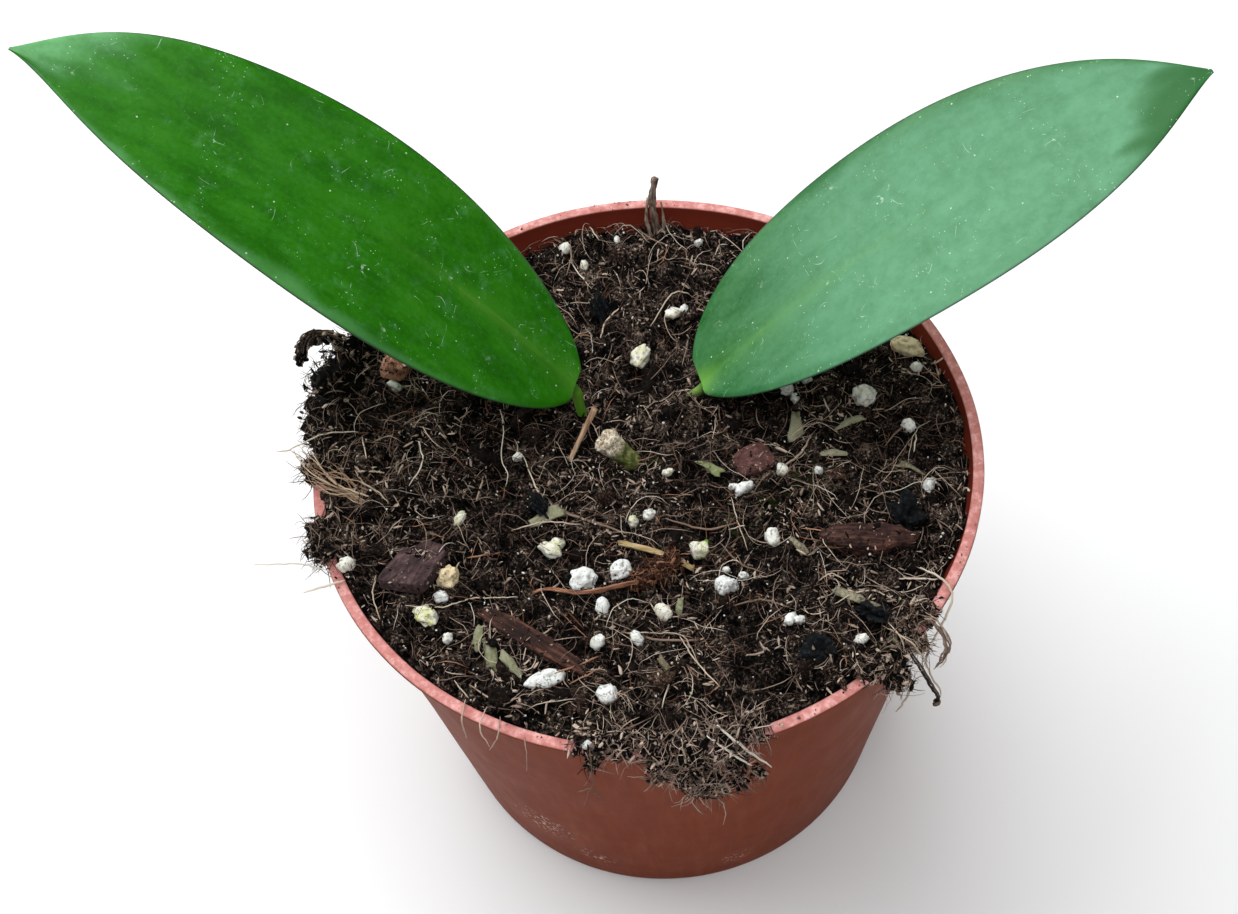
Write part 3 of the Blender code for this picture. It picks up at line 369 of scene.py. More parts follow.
def smooth_noise(points, scale_mm, seed=0):
    """Smooth noise from about -1 to 1 at each point, with lumps about the scale across."""
    places = np.asarray(points, float) / (scale_mm * MM) + 11.7 * (seed + 1)
    cells = np.floor(places).astype(int)
    inside = places - cells
    fade = inside ** 3 * (inside * (inside * 6 - 15) + 10)
    total = np.zeros(len(places))
    for corner in np.ndindex(2, 2, 2):
        at = (cells + corner) & 255
        pick = ORDER[(ORDER[(ORDER[at[:, 0]] + at[:, 1]) & 255] + at[:, 2]) & 255]
        weight = np.prod(np.where(np.array(corner) == 1, fade, 1 - fade), axis=1)
        total += weight * np.einsum("ij,ij->i", SLOPES[pick], inside - corner)
    return 1.6 * total


def crumb_cells(flat, scale_mm, seed):
    """For each place in a plane: how near it is to its crumb's middle, 0 to 1, and a value of that crumb."""
    places = flat / (scale_mm * MM)
    cells = np.floor(places).astype(int)
    nearest = np.full(len(places), 9.0)
    value = np.zeros(len(places))
    for step in np.ndindex(3, 3):
        at = cells + np.array(step) - 1
        key = ORDER[(ORDER[(at[:, 0] + 31 * seed) & 255] + at[:, 1]) & 255]
        distance = np.linalg.norm(places - (at + 0.5 + 0.4 * SLOPES[key, :2]), axis=1)
        closer = distance < nearest
        nearest = np.where(closer, distance, nearest)
        value = np.where(closer, key / 255, value)
    return np.clip(1 - nearest, 0, 1), value


def smooth_path(points, steps):
    """Points along a smooth curve through the given ones, which it passes in turn."""
    points = np.float32(points)
    ends = [points[0] * 2 - points[1], *points, points[-1] * 2 - points[-2]]
    path = []
    for a, b, c, d in zip(ends, ends[1:], ends[2:], ends[3:]):
        for t in np.arange(steps) / steps:
            t = float(t)
            path.append(0.5 * (2 * b + (c - a) * t + (2 * a - 5 * b + 4 * c - d) * t ** 2
                               + (3 * b - a - 3 * c + d) * t ** 3))
    return np.array(path + [points[-1]], float)


def path_mm(places, steps):
    return smooth_path(np.float32(places) * np.float32(MM), steps)


# Meshes and pieces

def new_object(name, data):
    item = bpy.data.objects.new(name, data)
    bpy.context.scene.collection.objects.link(item)
    return item


def make_object(name, vertices, faces, material, values=None, smooth=True):
    """A mesh object from arrays, with named values on its vertices for the material to read."""
    mesh = bpy.data.meshes.new(name)
    mesh.from_pydata(np.asarray(vertices).tolist(), [], [list(face) for face in faces])
    mesh.validate()
    for key, numbers in (values or {}).items():
        put_values(mesh, key, numbers)
    if smooth:
        mesh.shade_smooth()
    mesh.materials.append(material)
    return new_object(name, mesh)


def put_values(mesh, name, numbers):
    numbers = np.asarray(numbers, np.float32)
    vector = numbers.ndim == 2
    attribute = mesh.attributes.new(name, "FLOAT_VECTOR" if vector else "FLOAT", "POINT")
    attribute.data.foreach_set("vector" if vector else "value", numbers.ravel())


def dress(item, slot, *nodes):
    """Lets the piece ride on the part and hides the nodes that it stands for; slot, its finish, is not used.
    """
    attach(item, BODY)
    if nodes:
        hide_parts(*nodes)
    return item


def set_outward(item):
    bm = bmesh.new()
    bm.from_mesh(item.data)
    bmesh.ops.recalc_face_normals(bm, faces=bm.faces)
    bm.to_mesh(item.data)
    bm.free()


def combine(item, operation, **operand):
    """Joins a piece with an object, or cuts it by a collection, and keeps the result as its mesh."""
    modifier = item.modifiers.new("combine", "BOOLEAN")
    modifier.operation = operation
    modifier.solver = "EXACT"
    for key, setting in operand.items():
        setattr(modifier, key, setting)
    mesh = bpy.data.meshes.new_from_object(item.evaluated_get(bpy.context.evaluated_depsgraph_get()))
    item.modifiers.clear()
    item.data = mesh


BALLS = {}


def ball(detail):
    if detail not in BALLS:
        bm = bmesh.new()
        bmesh.ops.create_icosphere(bm, subdivisions=detail, radius=1.0)
        points = np.array([vert.co for vert in bm.verts])
        faces = np.array([[vert.index for vert in face.verts] for face in bm.faces])
        bm.free()
        BALLS[detail] = (points, faces)
    return BALLS[detail]


def repeat_faces(faces, size, count):
    return (faces[None] + size * np.arange(count)[:, None, None]).reshape(-1, 3)


def random_turns(draw, count):
    """Rotation matrices, evenly spread over all turns."""
    w, x, y, z = unit(draw.normal(size=(count, 4))).T
    return np.stack([
        np.stack([1 - 2 * (y * y + z * z), 2 * (x * y - w * z), 2 * (x * z + w * y)], -1),
        np.stack([2 * (x * y + w * z), 1 - 2 * (x * x + z * z), 2 * (y * z - w * x)], -1),
        np.stack([2 * (x * z - w * y), 2 * (y * z + w * x), 1 - 2 * (x * x + y * y)], -1),
    ], 1)


def lumps(draw, centres, sizes, detail, rough, turned=True):
    """Rough closed lumps, each with its own half sizes and, if turned, its own turn."""
    base, faces = ball(detail)
    count = len(centres)
    places = (1.7 * base[None] + draw.uniform(0, 60, (count, 1, 3))).reshape(-1, 3)
    swell = 1 + rough * smooth_noise(places, 1000) + 0.4 * rough * smooth_noise(places, 400, 3)
    points = base[None] * swell.reshape(count, -1, 1) * np.asarray(sizes)[:, None]
    if turned:
        points = np.einsum("nij,nvj->nvi", random_turns(draw, count), points)
    points = points + np.asarray(centres)[:, None]
    return points.reshape(-1, 3), repeat_faces(faces, len(base), count)


def add_lumps(name, draw, centres, sizes, detail, rough, material, tone, slot="peat_soil", smooth=True):
    """Loose lumps as one piece. tone is one number a lump, or a call that draws them."""
    points, faces = lumps(draw, centres, sizes, detail, rough)
    tone = np.repeat(tone() if callable(tone) else tone, len(ball(detail)[0]))
    dress(make_object(name, points, faces, material, {"tone": tone}, smooth and detail > 1), slot)


def wall_faces(index):
    """Quads between neighbouring rings of points: index is (rings, sides), or many of those."""
    near, far = index[..., :-1, :], index[..., 1:, :]
    return np.stack([near, far, np.roll(far, -1, -1), np.roll(near, -1, -1)], -1).reshape(-1, 4).tolist()


def tube_faces(index):
    """The wall of a tube and its two ends."""
    sides = index.shape[-1]
    ends = [index[..., 0, :], index[..., -1, ::-1]]
    return wall_faces(index) + [face for end in ends for face in end.reshape(-1, sides).tolist()]


def tubes(paths, radii, sides=3):
    """Closed tubes along many paths at once: paths is (tubes, points, 3) and radii (tubes, points)."""
    ahead = unit(np.gradient(paths, axis=1))
    steep = np.abs(ahead[..., 2].mean(1)) > 0.7
    helper = np.where(steep[:, None, None], (0.93, 0.33, 0.15), (0.31, 0.17, 0.93))
    side = unit(np.cross(ahead, helper))
    vertices = paths[:, :, None] + radii[:, :, None, None] * rings_of(side, np.cross(side, ahead), sides)
    return vertices.reshape(-1, 3), tube_faces(np.arange(vertices[..., 0].size).reshape(vertices.shape[:-1]))


def rings_of(side, lift, sides):
    turn = 2 * np.pi * np.arange(sides) / sides
    return np.cos(turn)[:, None] * side[..., None, :] + np.sin(turn)[:, None] * lift[..., None, :]


def taper(paths, radii, end=0.35):
    """Radii along fibres that thin towards both ends."""
    share = np.abs(np.linspace(-1, 1, paths.shape[1]))[None] ** 3
    return radii[:, None] * (1 - (1 - end) * share) * np.ones(paths.shape[:2])


def add_fibres(name, paths, radii, tone, material, sides, *nodes):
    vertices, faces = tubes(paths, taper(paths, radii), sides)
    tone = np.repeat(tone, paths.shape[1] * sides)
    dress(make_object(name, vertices, faces, material, {"tone": tone}), "peat_soil", *nodes)


# Materials

class Signal:
    """What a node gives out. Sums and products add their nodes; a | b is the larger, and abs(a) the size."""

    def __init__(self, look, socket):
        self.look = look
        self.socket = socket

    def __add__(self, other):
        return self.look.calc("ADD", self, other)

    def __mul__(self, other):
        return self.look.calc("MULTIPLY", self, other)

    def __or__(self, other):
        return self.look.calc("MAXIMUM", self, other)

    def __sub__(self, other):
        return self.look.calc("SUBTRACT", self, other)

    def __rsub__(self, other):
        return self.look.calc("SUBTRACT", other, self)

    def __abs__(self):
        return self.look.calc("ABSOLUTE", self, 0.0)

    __rmul__ = __mul__


class Look:
    """A material, with short calls for the nodes that it is made of. look["name"] is a value of the piece."""

    def __init__(self, name, roughness, specular, coordinates=None):
        self.material = bpy.data.materials.new(name)
        self.material.use_nodes = True
        self.nodes = self.material.node_tree.nodes
        self.links = self.material.node_tree.links
        self.inputs = self.nodes["Principled BSDF"].inputs
        self.inputs["Roughness"].default_value = roughness
        self.inputs["Specular IOR Level"].default_value = specular
        if coordinates:
            self.place = self.add("Attribute", {}, "Vector", attribute_name=coordinates)
        else:
            self.place = self.add("TexCoord", {}, "Object")

    def __getitem__(self, name):
        return self.add("Attribute", {}, "Fac", attribute_name=name)

    def add(self, kind, inputs, output=0, **settings):
        """Adds a node, sets or links its inputs, and gives back one of its outputs."""
        node = self.nodes.new("ShaderNode" + kind)
        for key, setting in settings.items():
            setattr(node, key, setting)
        for key, value in inputs.items():
            if isinstance(value, Signal):
                self.links.new(value.socket, node.inputs[key])
            else:
                node.inputs[key].default_value = value
        return Signal(self, node.outputs[output])

    def stretched(self, x, y, z):
        return self.add("Mapping", {"Vector": self.place, "Scale": (x, y, z)})

    def noise(self, size, detail=3.0, rough=0.55, place=None):
        inputs = {"Vector": place or self.place, "Scale": 1 / (size * MM), "Detail": detail,
                  "Roughness": rough}
        return self.add("TexNoise", inputs, "Fac")

    def calc(self, operation, a, b):
        return self.add("Math", {0: a, 1: b}, operation=operation)

    def rise(self, value, low, high):
        """0 below low, 1 above high, and a smooth step between; or the other way round if low is higher."""
        flip = low > high
        inputs = {"Value": value, "From Min": min(low, high), "From Max": max(low, high),
                  "To Min": 1.0 if flip else 0.0, "To Max": 0.0 if flip else 1.0}
        return self.add("MapRange", inputs, interpolation_type="SMOOTHSTEP")

    def blend(self, share, a, b, how="MIX"):
        """Goes from a to b; each is a signal, or a colour as red, green and blue."""
        a, b = (colour(*tint) if isinstance(tint, tuple) else tint for tint in (a, b))
        return self.add("Mix", {0: share, 6: a, 7: b}, 2, data_type="RGBA", blend_type=how)

    def ramp(self, value, *stops):
        """Blends colours along a value; stops are (value, (red, green, blue)), lowest first."""
        node = self.nodes.new("ShaderNodeValToRGB")
        self.links.new(value.socket, node.inputs[0])
        elements = node.color_ramp.elements
        while len(elements) < len(stops):
            elements.new(0.5)
        for element, (position, tint) in zip(elements, stops):
            element.position = position
            element.color = colour(*tint)
        return Signal(self, node.outputs[0])

    def specks(self, spacing, radius, share):
        """Scattered dots: one in each cell of a random choice of cells, 1 inside and 0 outside."""
        inputs = {"Vector": self.place, "Scale": 1 / (spacing * MM)}
        near = self.add("TexVoronoi", inputs, "Distance")
        kind = self.add("SeparateColor", {0: self.add("TexVoronoi", inputs, "Color")})
        chosen = self.rise(kind, 1 - share, 1 - share + 0.01)
        return self.rise(near, radius / spacing, 0.6 * radius / spacing) * chosen

    def link(self, name, value):
        self.links.new(value.socket, self.inputs[name])

    def finish(self, tint, height, depth, roughness=None):
        """Paints the surface, gives it relief and any gloss of its own, and hands over the material."""
        self.link("Base Color", tint)
        if roughness:
            self.link("Roughness", roughness)
        self.link("Normal", self.add("Bump", {"Height": height, "Distance": depth * MM, "Strength": 1.0}))
        return self.material


def soil_look():
    look = Look("peat", 0.9, 0.06)
    tone = 0.35 * look.noise(3.5, 4, 0.6) + 0.65 * look.noise(0.45, 4, 0.75)
    earth = look.ramp(tone, (0.43, (2, 2, 2)), (0.495, (24, 20, 18)), (0.55, (84, 69, 61)),
                      (0.63, (190, 168, 150)))
    earth = look.blend(look["charcoal"], earth, (13, 15, 17))
    earth = look.blend(look["moss"] * look.rise(look.noise(1.5), 0.45, 0.62), earth, (48, 56, 26))
    # painted shade: the soil is darkened in the hollows of its relief
    deep = look.blend(look.rise(look["depth"], -0.2, 0.8), (25, 25, 25), (255, 255, 255))
    return look.finish(look.blend(1.0, earth, deep, "MULTIPLY"), look.noise(0.22, 4, 0.75), 0.5)


def grain_look(name, roughness, *stops, fine=0.4, size=0.6):
    """Loose matter whose every lump or strand has a tone of its own, with finer variation over it."""
    look = Look(name, roughness, 0.08)
    tone = look["tone"] * (1 - 0.5 * fine) + look.noise(size, 4, 0.75) * fine
    return look.finish(look.ramp(tone, *stops), look.noise(0.2, 4, 0.7), 0.25)


def strand_look(name, *tints):
    """Fibres from the darkest tint to the lightest, spread evenly over their tones."""
    steps = len(tints) - 1
    return grain_look(name, 0.75, *[(0.15 + 0.85 * at / steps, tint) for at, tint in enumerate(tints)])


def perlite_look(name, *stops):
    """Foamed mineral grains: chalky and smooth, with dark pores, patches of soil, and darker in their pits."""
    look = Look(name, 0.75, 0.25)
    patchy = 0.75 * look.rise(look.noise(1.3), 0.35, 0.65)
    tint = look.ramp(look["tone"] * (patchy + 0.4), *stops)
    crack = abs(look.noise(1.0, 3, 0.6) - 0.5)
    crack = look.rise(crack, 0.02, 0.006) * look.rise(look.noise(0.7), 0.5, 0.56)
    pores = look.specks(0.6, 0.1, 0.3) | crack
    cloud = look.rise(look.noise(0.8, 4, 0.7), 0.52, 0.72)
    dark = pores * 0.7 | cloud * 0.55 | look["pit"] * 0.6
    return look.finish(look.blend(dark, tint, (70, 60, 50)), look.noise(0.35, 3, 0.65) - pores, 0.2)


def wood_look(name):
    """Bark, wood or straw: bands along the grain, a crusty relief, and soil that clings in patches."""
    dark, mid, light, along, size, soiled = WOODS[name]
    look = Look(name, 0.8, 0.2, "grained")
    bands = look.noise(size, 5, 0.7, look.stretched(along, 1.0, 1.0))
    tint = look.ramp(0.75 * bands + 0.25 * look.noise(2.2), (0.36, dark), (0.5, mid), (0.64, light))
    tint = look.blend(0.7 * look.specks(0.7, 0.1, 0.3), tint, (198, 178, 158))
    cling = soiled * look.rise(look.noise(1.1, 4, 0.7), 0.52, 0.64)
    return look.finish(look.blend(cling, tint, (26, 20, 17)), bands, 0.6)


def leaf_look(name, specular, deep, mid, pale, glow, edge, under, stalk, sheen_tint):
    """A waxy leaf with dust, scratches and crumbs on its upper face, and painted sheen and painted shade."""
    look = Look(name, 0.45, specular, "sheet")
    upper = 1.0 - look["under"]
    fine = look.noise(0.8, 4, 0.6)
    mottle = look.noise(5, 4, 0.6, look.stretched(0.35, 1.0, 1.0))
    tint = look.ramp(0.7 * mottle + 0.3 * fine, (0.4, deep), (0.5, mid), (0.61, pale))
    cloudy = 0.25 * look.rise(look.noise(9, 4, 0.65), 0.3, 0.7)
    blotches = 0.25 * look.rise(look.noise(2.4, 5, 0.7), 0.36, 0.64)
    # painted sheen: in clouds and blotches the upper face is lightened towards the sheen colour
    tint = look.blend(look["painted_sheen"] * (cloudy + blotches + 0.5) * upper, tint, sheen_tint)
    patches = look.rise(look.noise(8, 3, 0.6), 0.48, 0.62)
    # painted sheen in fine patches over the upper face
    sheen_mottle = look.rise(look.noise(2.6, 6, 0.75), 0.46, 0.74) * upper
    tint = look.blend(sheen_mottle * (0.2 * patches + 0.05), tint, sheen_tint)
    # painted shade: the tip is painted deep green where the sheen falls off
    tint = look.blend(look["tip_shade"], tint, deep)
    tint = look.blend(look["glow"], tint, glow)
    dust = look.specks(0.6, 0.1, 0.5) * (patches + 0.1) | look.specks(2.4, 0.18, 0.35)
    line = look.rise(abs(look.noise(7, 1, 0.5) - 0.5), 0.004, 0.001)
    scratch = line * (look.rise(look.noise(2.2), 0.5, 0.58) * patches)
    marks = (dust * 0.9 | scratch * 0.8) * upper
    tint = look.blend(0.75 * marks, tint, (205, 228, 205))
    # painted sheen: a pale band along one margin
    tint = look.blend(look["margin_sheen"], tint, sheen_tint)
    tint = look.blend(look.specks(7, 0.22, 0.4) * upper, tint, (24, 30, 14))
    # painted shade: a dark line along the margin
    tint = look.blend(look["rim"], tint, edge)
    below = look.blend(look.rise(fine, 0.3, 0.7), under, glow)
    tint = look.blend(0.92 * look["under"], tint, look.blend(0.75, below, under))
    dull = 0.16 * look.noise(3, 4, 0.6) + 0.37 + 0.12 * look["under"] + 0.3 * marks
    return look.finish(look.blend(look["stalk"], tint, stalk), look.noise(2.5, 1, 0.5), 0.03, dull)


def stem_look():
    look = Look("stem_skin", 0.6, 0.35)
    bark = look.ramp(look.noise(1.3, 4, 0.65), (0.38, (52, 60, 22)), (0.52, (104, 112, 52)),
                     (0.66, (176, 168, 112)))
    cork = look.noise(0.6, 5, 0.7)
    cut = look.ramp(cork, (0.36, (104, 82, 64)), (0.46, (196, 176, 146)), (0.55, (232, 220, 196)),
                    (0.65, (252, 248, 238)))
    cut = look.blend(0.7 * (look["ring"] * look.rise(cork, 0.6, 0.42)), cut, (84, 62, 44))
    return look.finish(look.blend(look["cut"], bark, cut), look.noise(0.4, 5, 0.7), 0.35)


def pot_look():
    """Worn terracotta-brown plastic: painted rim highlight and glints, soil specks, scuffs and dried water
    marks.
    """
    look = Look("moulded_plastic", 0.5, 0.03)
    height = look.add("SeparateXYZ", {0: look.place}, "Z")
    upright = look.stretched(1.0, 1.0, 0.05)
    tone = 0.7 * look.noise(1.6, 4, 0.6, upright) + 0.3 * look.noise(14, 3, 0.5)
    body = look.ramp(tone, (0.34, (110, 43, 15)), (0.5, (115, 47, 18)), (0.66, (123, 55, 28)))
    body = look.blend(look["inside"], body, (110, 43, 30))
    # painted highlight: the rim's top is painted a lighter pink
    rim_noise = look.noise(1.5, 5, 0.7)
    rim_highlight = look.ramp(rim_noise, (0.34, (178, 110, 104)), (0.5, (194, 130, 124)), (0.66, (222, 168, 164)))
    body = look.blend(look["rim_highlight"], body, rim_highlight)
    stains = look.rise(look.noise(5, 5, 0.7, upright), 0.55, 0.7) * look.rise(height, 50 * MM, 14 * MM)
    body = look.blend(0.25 * stains, body, (176, 130, 112))
    scuffs = look.rise(look.noise(0.9, 5, 0.75), 0.56, 0.62) * look["scuff"]
    body = look.blend(0.8 * scuffs, body, (225, 205, 195))
    soil = look.specks(5, 0.3, 0.2) | look.specks(1.8, 0.12, 0.15)
    body = look.blend(soil * (0.8 - 0.65 * look["rim_highlight"]), body, (40, 22, 17))
    # painted glints: pale specks over the wall
    body = look.blend(0.35 * look.specks(2.6, 0.12, 0.25), body, (210, 185, 170))
    return look.finish(body, look.noise(0.5, 3, 0.6), 0.03, 0.2 * look.noise(5, 4, 0.6) + 0.36 + 0.2 * stains)


# Soil

def ground(x, y):
    """Height of the soil's form at arrays of places, as in the model."""
    height = np.full(len(x), SOIL_LEVEL)
    for middle_x, middle_y, spread_x, spread_y, rise in SWELLS_MM:
        across = (x / MM - middle_x) / spread_x
        along = (y / MM - middle_y) / spread_y
        height += rise * MM * np.exp(-0.5 * (across ** 2 + along ** 2))
    coarse = [noise.noise(Vector((a, b, 0.013)) / (7.5 * MM)) for a, b in zip(x, y)]
    fine = [noise.noise(Vector((a, b, 0.041)) / (3.6 * MM)) for a, b in zip(x, y)]
    return height + (1.1 * np.array(coarse) + 0.9 * np.array(fine)) * MM


def away_from(x, y, middle_x, middle_y, reach):
    return np.hypot(x / MM - middle_x, y / MM - middle_y) / reach


def spots(x, y, places):
    """Soft round patches: 1 at each place, fading to 0 at its radius; all in millimetres."""
    total = np.zeros(len(x))
    for place in places:
        total = np.maximum(total, 1 - smooth_step(0.35, 1.0, away_from(x, y, *place)))
    return total


def surface(x, y):
    """Height of the soil as dressed here: the model's form with a few small mounds and hollows."""
    height = ground(x, y)
    for sign, places in ((1, MOUNDS_MM), (-1, HOLLOWS_MM)):
        for *place, rise in places:
            height += sign * rise * MM * np.exp(-0.5 * (1.5 * away_from(x, y, *place)) ** 2)
    flat = np.stack([x, y, 0 * x], 1)
    return height + (0.9 * smooth_noise(flat, 5.5, 14) + 0.6 * smooth_noise(flat, 2.4, 15)) * MM


def crumb_relief(x, y):
    """Fine relief of the soil in millimetres: crumbs of two sizes with cracks between them, and shreds."""
    flat = np.stack([x, y, 0 * x], 1)
    bent = flat + 0.7 * MM * np.stack([smooth_noise(flat, 1.6, 1), smooth_noise(flat, 1.6, 2), 0 * x], 1)
    big, big_value = crumb_cells(bent[:, :2], 3.4, 1)
    small, small_value = crumb_cells(bent[:, :2], 1.3, 2)
    shreds = 1 - 2 * np.abs(smooth_noise(bent, 0.9, 4))
    height = 1.5 * (np.sqrt(big) - 0.75) * (0.3 + big_value)
    height += (np.sqrt(small) - 0.7) * (0.4 + small_value)
    return height + 0.4 * shreds + 0.35 * smooth_noise(flat, 0.5, 5)


def inside_radius(z):
    """Radius of the pot's inner wall at a height, straight up above the rim."""
    heights = [FLOOR_THICKNESS, POT_HEIGHT - FLARE_DEPTH, POT_HEIGHT - LIP_DEPTH]
    return np.interp(z, heights, [BASE_RADIUS - WALL, BODY_TOP_RADIUS - WALL, MOUTH_RADIUS])


def within_pot(points, room=WALL_GAP):
    """Draws points towards the axis until they are clear of the pot's inner wall."""
    away = np.hypot(points[..., 0], points[..., 1])
    hold = np.minimum(1, (inside_radius(points[..., 2]) - room) / np.maximum(away, 1e-6))
    return points * np.stack([hold, hold, np.ones_like(hold)], -1)


def outside_pot(points, room=WALL_GAP):
    """Pushes points that are in or under the rim outwards, clear of the pot's outer wall."""
    height = points[..., 2]
    away = np.hypot(points[..., 0], points[..., 1])
    outer = np.interp(height, OUTER_WALL[0] + [POT_HEIGHT], OUTER_WALL[1] + [RIM_RADIUS]) + room
    stuck = (away < outer) & (away > inside_radius(height) - 0.5 * MM) & (height < POT_HEIGHT + room)
    push = np.where(stuck, outer / np.maximum(away, 1e-6), 1.0)
    return points * np.stack([push, push, np.ones_like(push)], -1)


def make_bed(material):
    """The body of soil: a dense relief on top, the pot's inner shape below."""
    side = np.linspace(-1, 1, BED_CELLS + 1)
    u, v = (grid.ravel() for grid in np.meshgrid(side, side, indexing="ij"))
    wide = np.abs(u) > np.abs(v)
    reach = np.where(wide, u, v)
    ratio = np.where(wide, v, u) / np.where(reach == 0, 1, reach)
    angle = np.where(wide, np.pi / 4 * ratio, np.pi / 2 - np.pi / 4 * ratio)
    mouth = MOUTH_RADIUS - BED_GAP
    x, y = mouth * reach * np.cos(angle), mouth * reach * np.sin(angle)
    form = surface(x, y)
    wall = inside_radius(form) - BED_GAP
    x, y = x * wall / mouth, y * wall / mouth
    relief = crumb_relief(x, y)
    edge = smooth_step(1.0, 0.985, np.abs(reach)) * 0.7 + 0.3
    top = np.stack([x, y, form + relief * edge * MM], 1)
    index = np.arange(len(top)).reshape(BED_CELLS + 1, BED_CELLS + 1)
    corners = [index[:-1, :-1], index[1:, :-1], index[1:, 1:], index[:-1, 1:]]
    faces = np.stack(corners, -1).reshape(-1, 4).tolist()
    last = np.concatenate([index[:-1, 0], index[-1, :-1], index[:0:-1, -1], index[0, :0:-1]])
    directions = unit(top[last, :2])
    points = top
    for z in (POT_HEIGHT - 11 * MM, FLOOR_THICKNESS + 0.3 * MM):
        ring = directions * (inside_radius(z) - BED_GAP)
        here = len(points) + np.arange(len(last))
        points = np.concatenate([points, np.column_stack([ring, np.full(len(last), z)])])
        faces += np.stack([last, here, np.roll(here, -1), np.roll(last, -1)], 1).tolist()
        last = here
    faces += [[int(a), len(points), int(b)] for a, b in zip(last, np.roll(last, -1))]
    points = np.concatenate([points, [[0.0, 0.0, FLOOR_THICKNESS + 0.3 * MM]]])
    # the relief goes to the material, which paints shade in its hollows
    values = {"depth": np.pad(relief, (0, len(points) - len(relief))),
              "charcoal": spots(*points[:, :2].T, CHARCOAL_MM), "moss": spots(*points[:, :2].T, MOSS_MM)}
    bed = make_object("soil_bed", points, faces, material, values)
    set_outward(bed)
    lay_flat(bed.data, len(top))
    dress(bed, "peat_soil", "soil")


def lay_flat(mesh, top_count):
    """A map for baking: the top as a disc, the side as thin rings round it, and the underside in a corner."""
    points = np.array([vert.co for vert in mesh.vertices])
    away = np.linalg.norm(points[:, :2], axis=1)
    edge = away[:top_count].max()
    low = points[:, 2] < FLOOR_THICKNESS + 1 * MM
    share = np.where(np.arange(len(points)) < top_count, 0.46 * away / edge, 0.475)
    share[low] = 0.488
    flat = 0.5 + share[:, None] * points[:, :2] / np.maximum(away, 1e-9)[:, None]
    below = 0.03 + 0.02 * points[:, :2] / edge
    layer = mesh.uv_layers.new(name="OFBake")
    for face in mesh.polygons:
        places = below if all(low[corner] for corner in face.vertices) else flat
        for loop, corner in zip(face.loop_indices, face.vertices):
            layer.data[loop].uv = places[corner]


# Loose matter on the soil

def in_disc(draw, count, reach):
    distance = reach * np.sqrt(draw.random(count))
    angle = draw.uniform(0, 2 * np.pi, count)
    return distance * np.cos(angle), distance * np.sin(angle)


def zone_tone(draw, x, y, skew):
    """A tone for each piece of loose matter: random, and darker over some zones of the soil than others."""
    zone = smooth_step(-0.55, 0.45, smooth_noise(np.stack([x, y, 0 * x], 1), 8, 31))
    return draw.random(len(x)) ** skew * (0.56 + 0.68 * zone)


def scatter(name, draw, count, sizes, shape, lift, detail, rough, material, slot="peat_soil", skew=1.0,
            bright=1.0):
    """Loose lumps strewn over the soil: sizes and lift are ranges, shape the radius' share each way."""
    x, y = in_disc(draw, count, MOUTH_RADIUS)
    low, high = metres(sizes)
    radius = low + (high - low) * draw.random(count) ** 2
    centres = np.stack([x, y, surface(x, y) + draw.uniform(*metres(lift), count)], 1)
    centres = within_pot(centres, WALL_GAP + 0.5 * radius)
    half = radius[:, None] * np.array(shape) * draw.uniform(0.7, 1.2, (count, 3))
    add_lumps(name, draw, centres, half, detail, rough, material,
              lambda: bright * zone_tone(draw, x, y, skew), slot)


def curled(draw, start, ahead, lengths, curl, points, axis, sag=0.0):
    """Paths that bend steadily round an axis as they go, with a little shake; sag pulls them down."""
    turn = draw.normal(0, curl, (len(start), 1))
    path = [start]
    for _ in range(points - 1):
        ahead = unit(ahead + turn * np.cross(axis, ahead) + draw.normal(0, 0.14, ahead.shape) - (0, 0, sag))
        path.append(path[-1] + ahead * (lengths / (points - 1))[:, None])
    return np.stack(path, 1)


def make_fibres(name, draw, count, lengths, radii, material, curl=0.22, lift=(0.0, 1.1), arch=(-0.2, 0.25),
                points=4, sides=3, skew=1.0, tail=2.0):
    """Many fibres lying on the soil as one piece. Few reach the full length; arch is a share of the length."""
    (short, long), (thin, thick) = metres(lengths), metres(radii)
    x, y = in_disc(draw, count, MOUTH_RADIUS)
    span = short + (long - short) * draw.random(count) ** tail
    ahead = polar(1, draw.uniform(0, 2 * np.pi, count), 0)
    start = np.stack([x, y, 0 * x + SOIL_LEVEL], 1)
    paths = within_pot(curled(draw, start, ahead, span, curl, points, np.array([0.0, 0.0, 1.0])))
    form = surface(paths[..., 0].ravel(), paths[..., 1].ravel()).reshape(count, points)
    steps = np.linspace(-1, 1, points)[None]
    rise = draw.uniform(*arch, (count, 1)) * span[:, None] * (1 - steps ** 2)
    lifted = form + draw.uniform(*metres(lift), (count, 1)) + rise
    paths[..., 2] = lifted + draw.normal(0, 0.3 * MM, (count, 1)) * steps
    radius = thin + (thick - thin) * draw.random(count) ** 2
    add_fibres(name, within_pot(paths), radius, zone_tone(draw, x, y, skew), material, sides)


def hand_fibres(name, routes, material, radii, draw, lift=None, sides=5):
    """Single fibres laid one by one, each through its own places; lift sets them on the soil."""
    vertices, faces, tones, total = [], [], [], 0
    for route in routes:
        places = metres(route)
        if lift is not None:
            raised = surface(places[:, 0], places[:, 1]) + draw.uniform(*lift, len(places)) * MM
            places = within_pot(np.column_stack([places, raised]), 0.1 * MM)
        path = smooth_path(places, 6)[None]
        path = path + draw.normal(0, 0.05 * MM, path.shape)
        points, walls = tubes(path, taper(path, draw.uniform(*radii, 1) * MM, 0.45), sides)
        faces += [[corner + total for corner in face] for face in walls]
        total += len(points)
        vertices.append(points)
        tones.append(np.full(len(points), draw.random()))
    values = {"tone": np.concatenate(tones)}
    dress(make_object(name, np.concatenate(vertices), faces, material, values), "peat_soil")


# Soil that spills over the rim

def spill_places(spill):
    angle, distance, height, radius = np.array(spill, float).T
    return polar(distance, np.radians(angle), height) * MM, radius * MM


